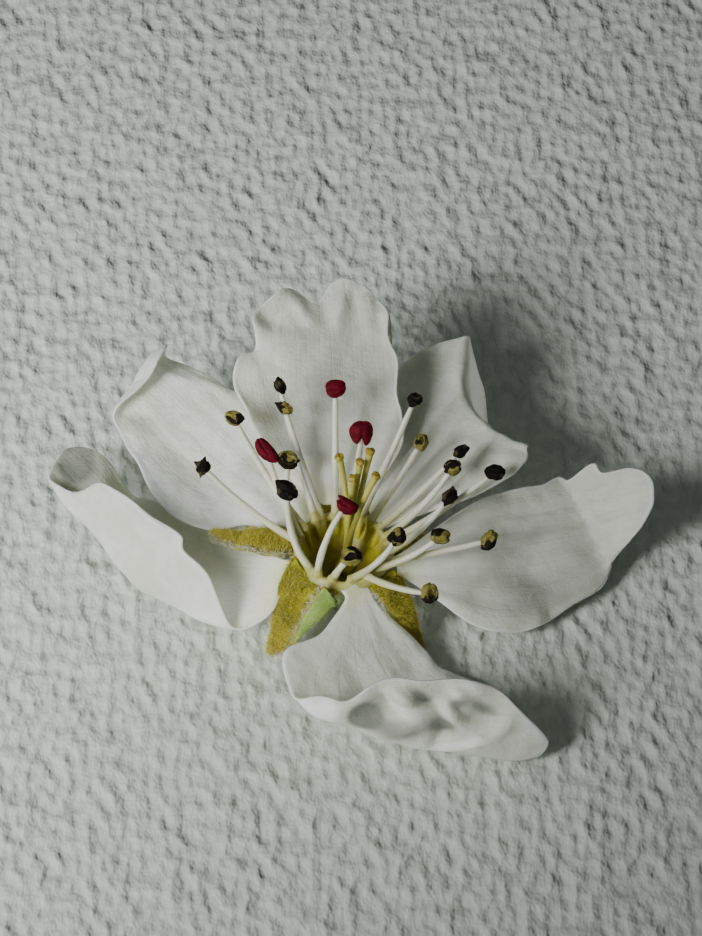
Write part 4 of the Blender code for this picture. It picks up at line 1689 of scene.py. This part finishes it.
@dataclass
class Pistil:
    """Five styles with their stigmas on the floor of the cup."""

    foot: tuple[float, float, float] = (0.1, 0.1, 2.95)
    base: tuple[float, float, float] = (0.55, 0.55, 0.5)
    base_drop: float = 0.4
    style_radius: float = 0.18
    style_waist: float = 0.15
    style_flare: float = 0.2
    stigma_radius: float = 0.25
    stigma_lumps: float = 0.1
    stigma_dent: float = 0.35
    steps: int = 20

    def build(self, finishes: dict[str, bpy.types.Material]) -> None:
        """Model the styles and the stigmas.

        Args:
            finishes: The blossom's materials by name.
        """
        foot = np.array(self.foot)
        rods, tips = [], []
        part = np.linspace(0.0, 1.0, self.steps + 1)
        waist = 1.0 - self.style_waist * np.sin(np.pi * part)
        flare = 1.0 + self.style_flare * smooth(part, 0.85, 1.0)
        radii = self.style_radius * waist * flare
        for number, style in enumerate(STYLES):
            path = curved_path(foot, style, self.steps)
            rods.append(make_rod(f"style_{number}", path, radii))
            tips.append(self._stigma(path[-1], path[-1] - path[-3], number))
        base = new_ball(4)
        ball = read_vertices(base) * np.array(self.base)
        write_points(base, foot + ball - np.array([0, 0, self.base_drop]))
        finish_joined("styles", rods + [base], finishes["style"], ("pistil",))
        finish_joined("stigmas", tips, finishes["stigma"])

    def _stigma(self, centre: np.ndarray, along: np.ndarray, number: int) -> bpy.types.Object:
        """Shape a lumpy, dented cap on a style's end.

        Args:
            centre: The style's end, in millimetres.
            along: The way that the style points there.
            number: The style's number.

        Returns:
            The cap.
        """
        cap = new_ball(4)
        ball = read_vertices(cap)
        way = along / np.linalg.norm(along)
        shape = ball * (1.0 + self.stigma_lumps * soft_noise(ball, 0.5, Draw.STIGMA + number))[:, None]
        shape -= np.outer(self.stigma_dent * smooth(ball @ way, 0.5, 1.0), way)
        write_points(cap, centre + shape * self.stigma_radius)
        return cap


@dataclass
class Studio:
    """The pale surface, the soft light and the camera."""

    floor_size: float = 900.0
    sky: Colour = (0.80, 0.90, 0.82)
    sky_strength: float = 0.11
    camera_distance: float = 220.0
    camera_rise: float = FRONT_RISE
    frame_height: float = 52.0
    sensor: float = 36.0
    nearest: float = 0.01
    farthest: float = 10.0
    aim: tuple[float, float, float] = (0.444, 5.65, 4.5)
    key_heading: float = 222.0
    key_rise: float = 33.0
    key_distance: float = 165.0
    key_size: float = 66.0
    key_power: float = 0.064
    key_aim: tuple[float, float, float] = (-42.0, 12.0, 0.0)
    key_spread: float = 60.0
    key_colour: Colour = (0.975, 1.0, 0.95)

    def build(self, paper: bpy.types.Material) -> None:
        """Set the stage.

        Args:
            paper: The surface's finish.
        """
        deselect()
        bpy.ops.mesh.primitive_plane_add(size=self.floor_size * MM)
        floor = bpy.context.object
        floor.name = "pale_floor"
        floor.data.materials.append(paper)
        self._lamp()
        world = bpy.data.worlds.new("studio")
        bpy.context.scene.world = world
        world.use_nodes = True
        background = world.node_tree.nodes["Background"]
        background.inputs["Color"].default_value = (*self.sky, 1.0)
        background.inputs["Strength"].default_value = self.sky_strength
        self._camera()

    def _lamp(self) -> None:
        """Hang a square soft light at the front left, which faces the surface left of the blossom."""
        place = np.array(self.aim) + direction(self.key_heading, self.key_rise) * self.key_distance
        lamp = bpy.data.lights.new("window", "AREA")
        lamp.shape = "SQUARE"
        lamp.size = self.key_size * MM
        lamp.energy = self.key_power
        lamp.spread = math.radians(self.key_spread)
        lamp.color = self.key_colour
        thing = linked("window", lamp)
        thing.location = Vector(place) * MM
        thing.rotation_euler = (Vector(self.key_aim) - Vector(place)).to_track_quat("-Z", "Y").to_euler()

    def _camera(self) -> None:
        """Set the camera at the photo's viewing angle."""
        lens = bpy.data.cameras.new("camera")
        lens.sensor_width = self.sensor
        lens.lens = self.sensor * self.camera_distance / self.frame_height
        lens.clip_start = self.nearest
        lens.clip_end = self.farthest
        camera = linked("camera", lens)
        rise = math.radians(self.camera_rise)
        away = Vector((0.0, math.cos(rise), -math.sin(rise)))
        camera.location = (Vector(self.aim) - away * self.camera_distance) * MM
        camera.rotation_euler = away.to_track_quat("-Z", "Y").to_euler()
        bpy.context.scene.camera = camera


def make_finishes() -> dict[str, bpy.types.Material]:
    """Make the blossom's finishes.

    Returns:
        The materials, by name.
    """
    finishes = {
        "sepal_upper": SepalFinish(
            "sepal_felt_olive", (0.44, 0.40, 0.008), (0.17, 0.15, 0.003), (0.56, 0.32, 0.03)
        ),
        "sepal_lower": SepalFinish(
            "sepal_felt_green", (0.38, 0.51, 0.13), (0.25, 0.38, 0.07), (0.44, 0.46, 0.12)
        ),
        "hair_yellow": HairFinish("hair_yellow", (0.46, 0.40, 0.01), (0.90, 0.78, 0.10)),
        "hair_white": HairFinish("hair_white", (0.72, 0.69, 0.42), (0.95, 0.94, 0.84)),
        "cup": CupFinish(),
        "filament": LimbFinish(
            "filament_cream", (0.74, 0.73, 0.63), (0.60, 0.58, 0.30), foot_height=(4.6, 5.6)
        ),
        "style": LimbFinish(
            "style_yellow_green", (0.50, 0.47, 0.11), (0.30, 0.27, 0.015), foot_height=(3.2, 6.5)
        ),
        "stigma": AntherFinish(
            "stigma_brown", (0.34, 0.23, 0.03), (0.42, 0.36, 0.06), (0.18, 0.11, 0.02),
            (0.4, 0.3, 0.1), roughness=0.4, grain=0.5,
        ),
        "anther_closed": AntherFinish(
            "anther_dark_red", (0.075, 0.001, 0.007), (0.14, 0.002, 0.016), (0.022, 0.001, 0.002),
            (0.1, 0.01, 0.01), roughness=0.6, grain=0.4,
        ),
        "anther_open": AntherFinish(
            "anther_olive", (0.24, 0.21, 0.05), (0.11, 0.095, 0.02), (0.009, 0.006, 0.003),
            (0.34, 0.31, 0.13), roughness=0.55, grain=0.9,
        ),
        "anther_spent": AntherFinish(
            "anther_black", (0.038, 0.031, 0.015), (0.022, 0.018, 0.010), (0.005, 0.004, 0.003),
            (0.11, 0.095, 0.04), roughness=0.5, grain=0.9,
        ),
    }
    return {name: finish.material() for name, finish in finishes.items()}


def main() -> None:
    """Build the blossom piece by piece, and set the stage."""
    logging.basicConfig(level=logging.INFO, format="%(name)s: %(message)s")
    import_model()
    deselect()
    finishes = make_finishes()
    for blade, relief in PETALS:
        Petal(blade, relief).build(PetalFinish(f"{blade.name}_white", relief.light).material())
    for number, blade in enumerate(SEPALS):
        Sepal(blade, seed=SEPAL_SEED + number).build(finishes)
    Cup().build(finishes)
    Stamens().build(finishes)
    Pistil().build(finishes)
    Studio().build(PaperFinish().material())
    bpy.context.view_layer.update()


if __name__ == "__main__":
    main()
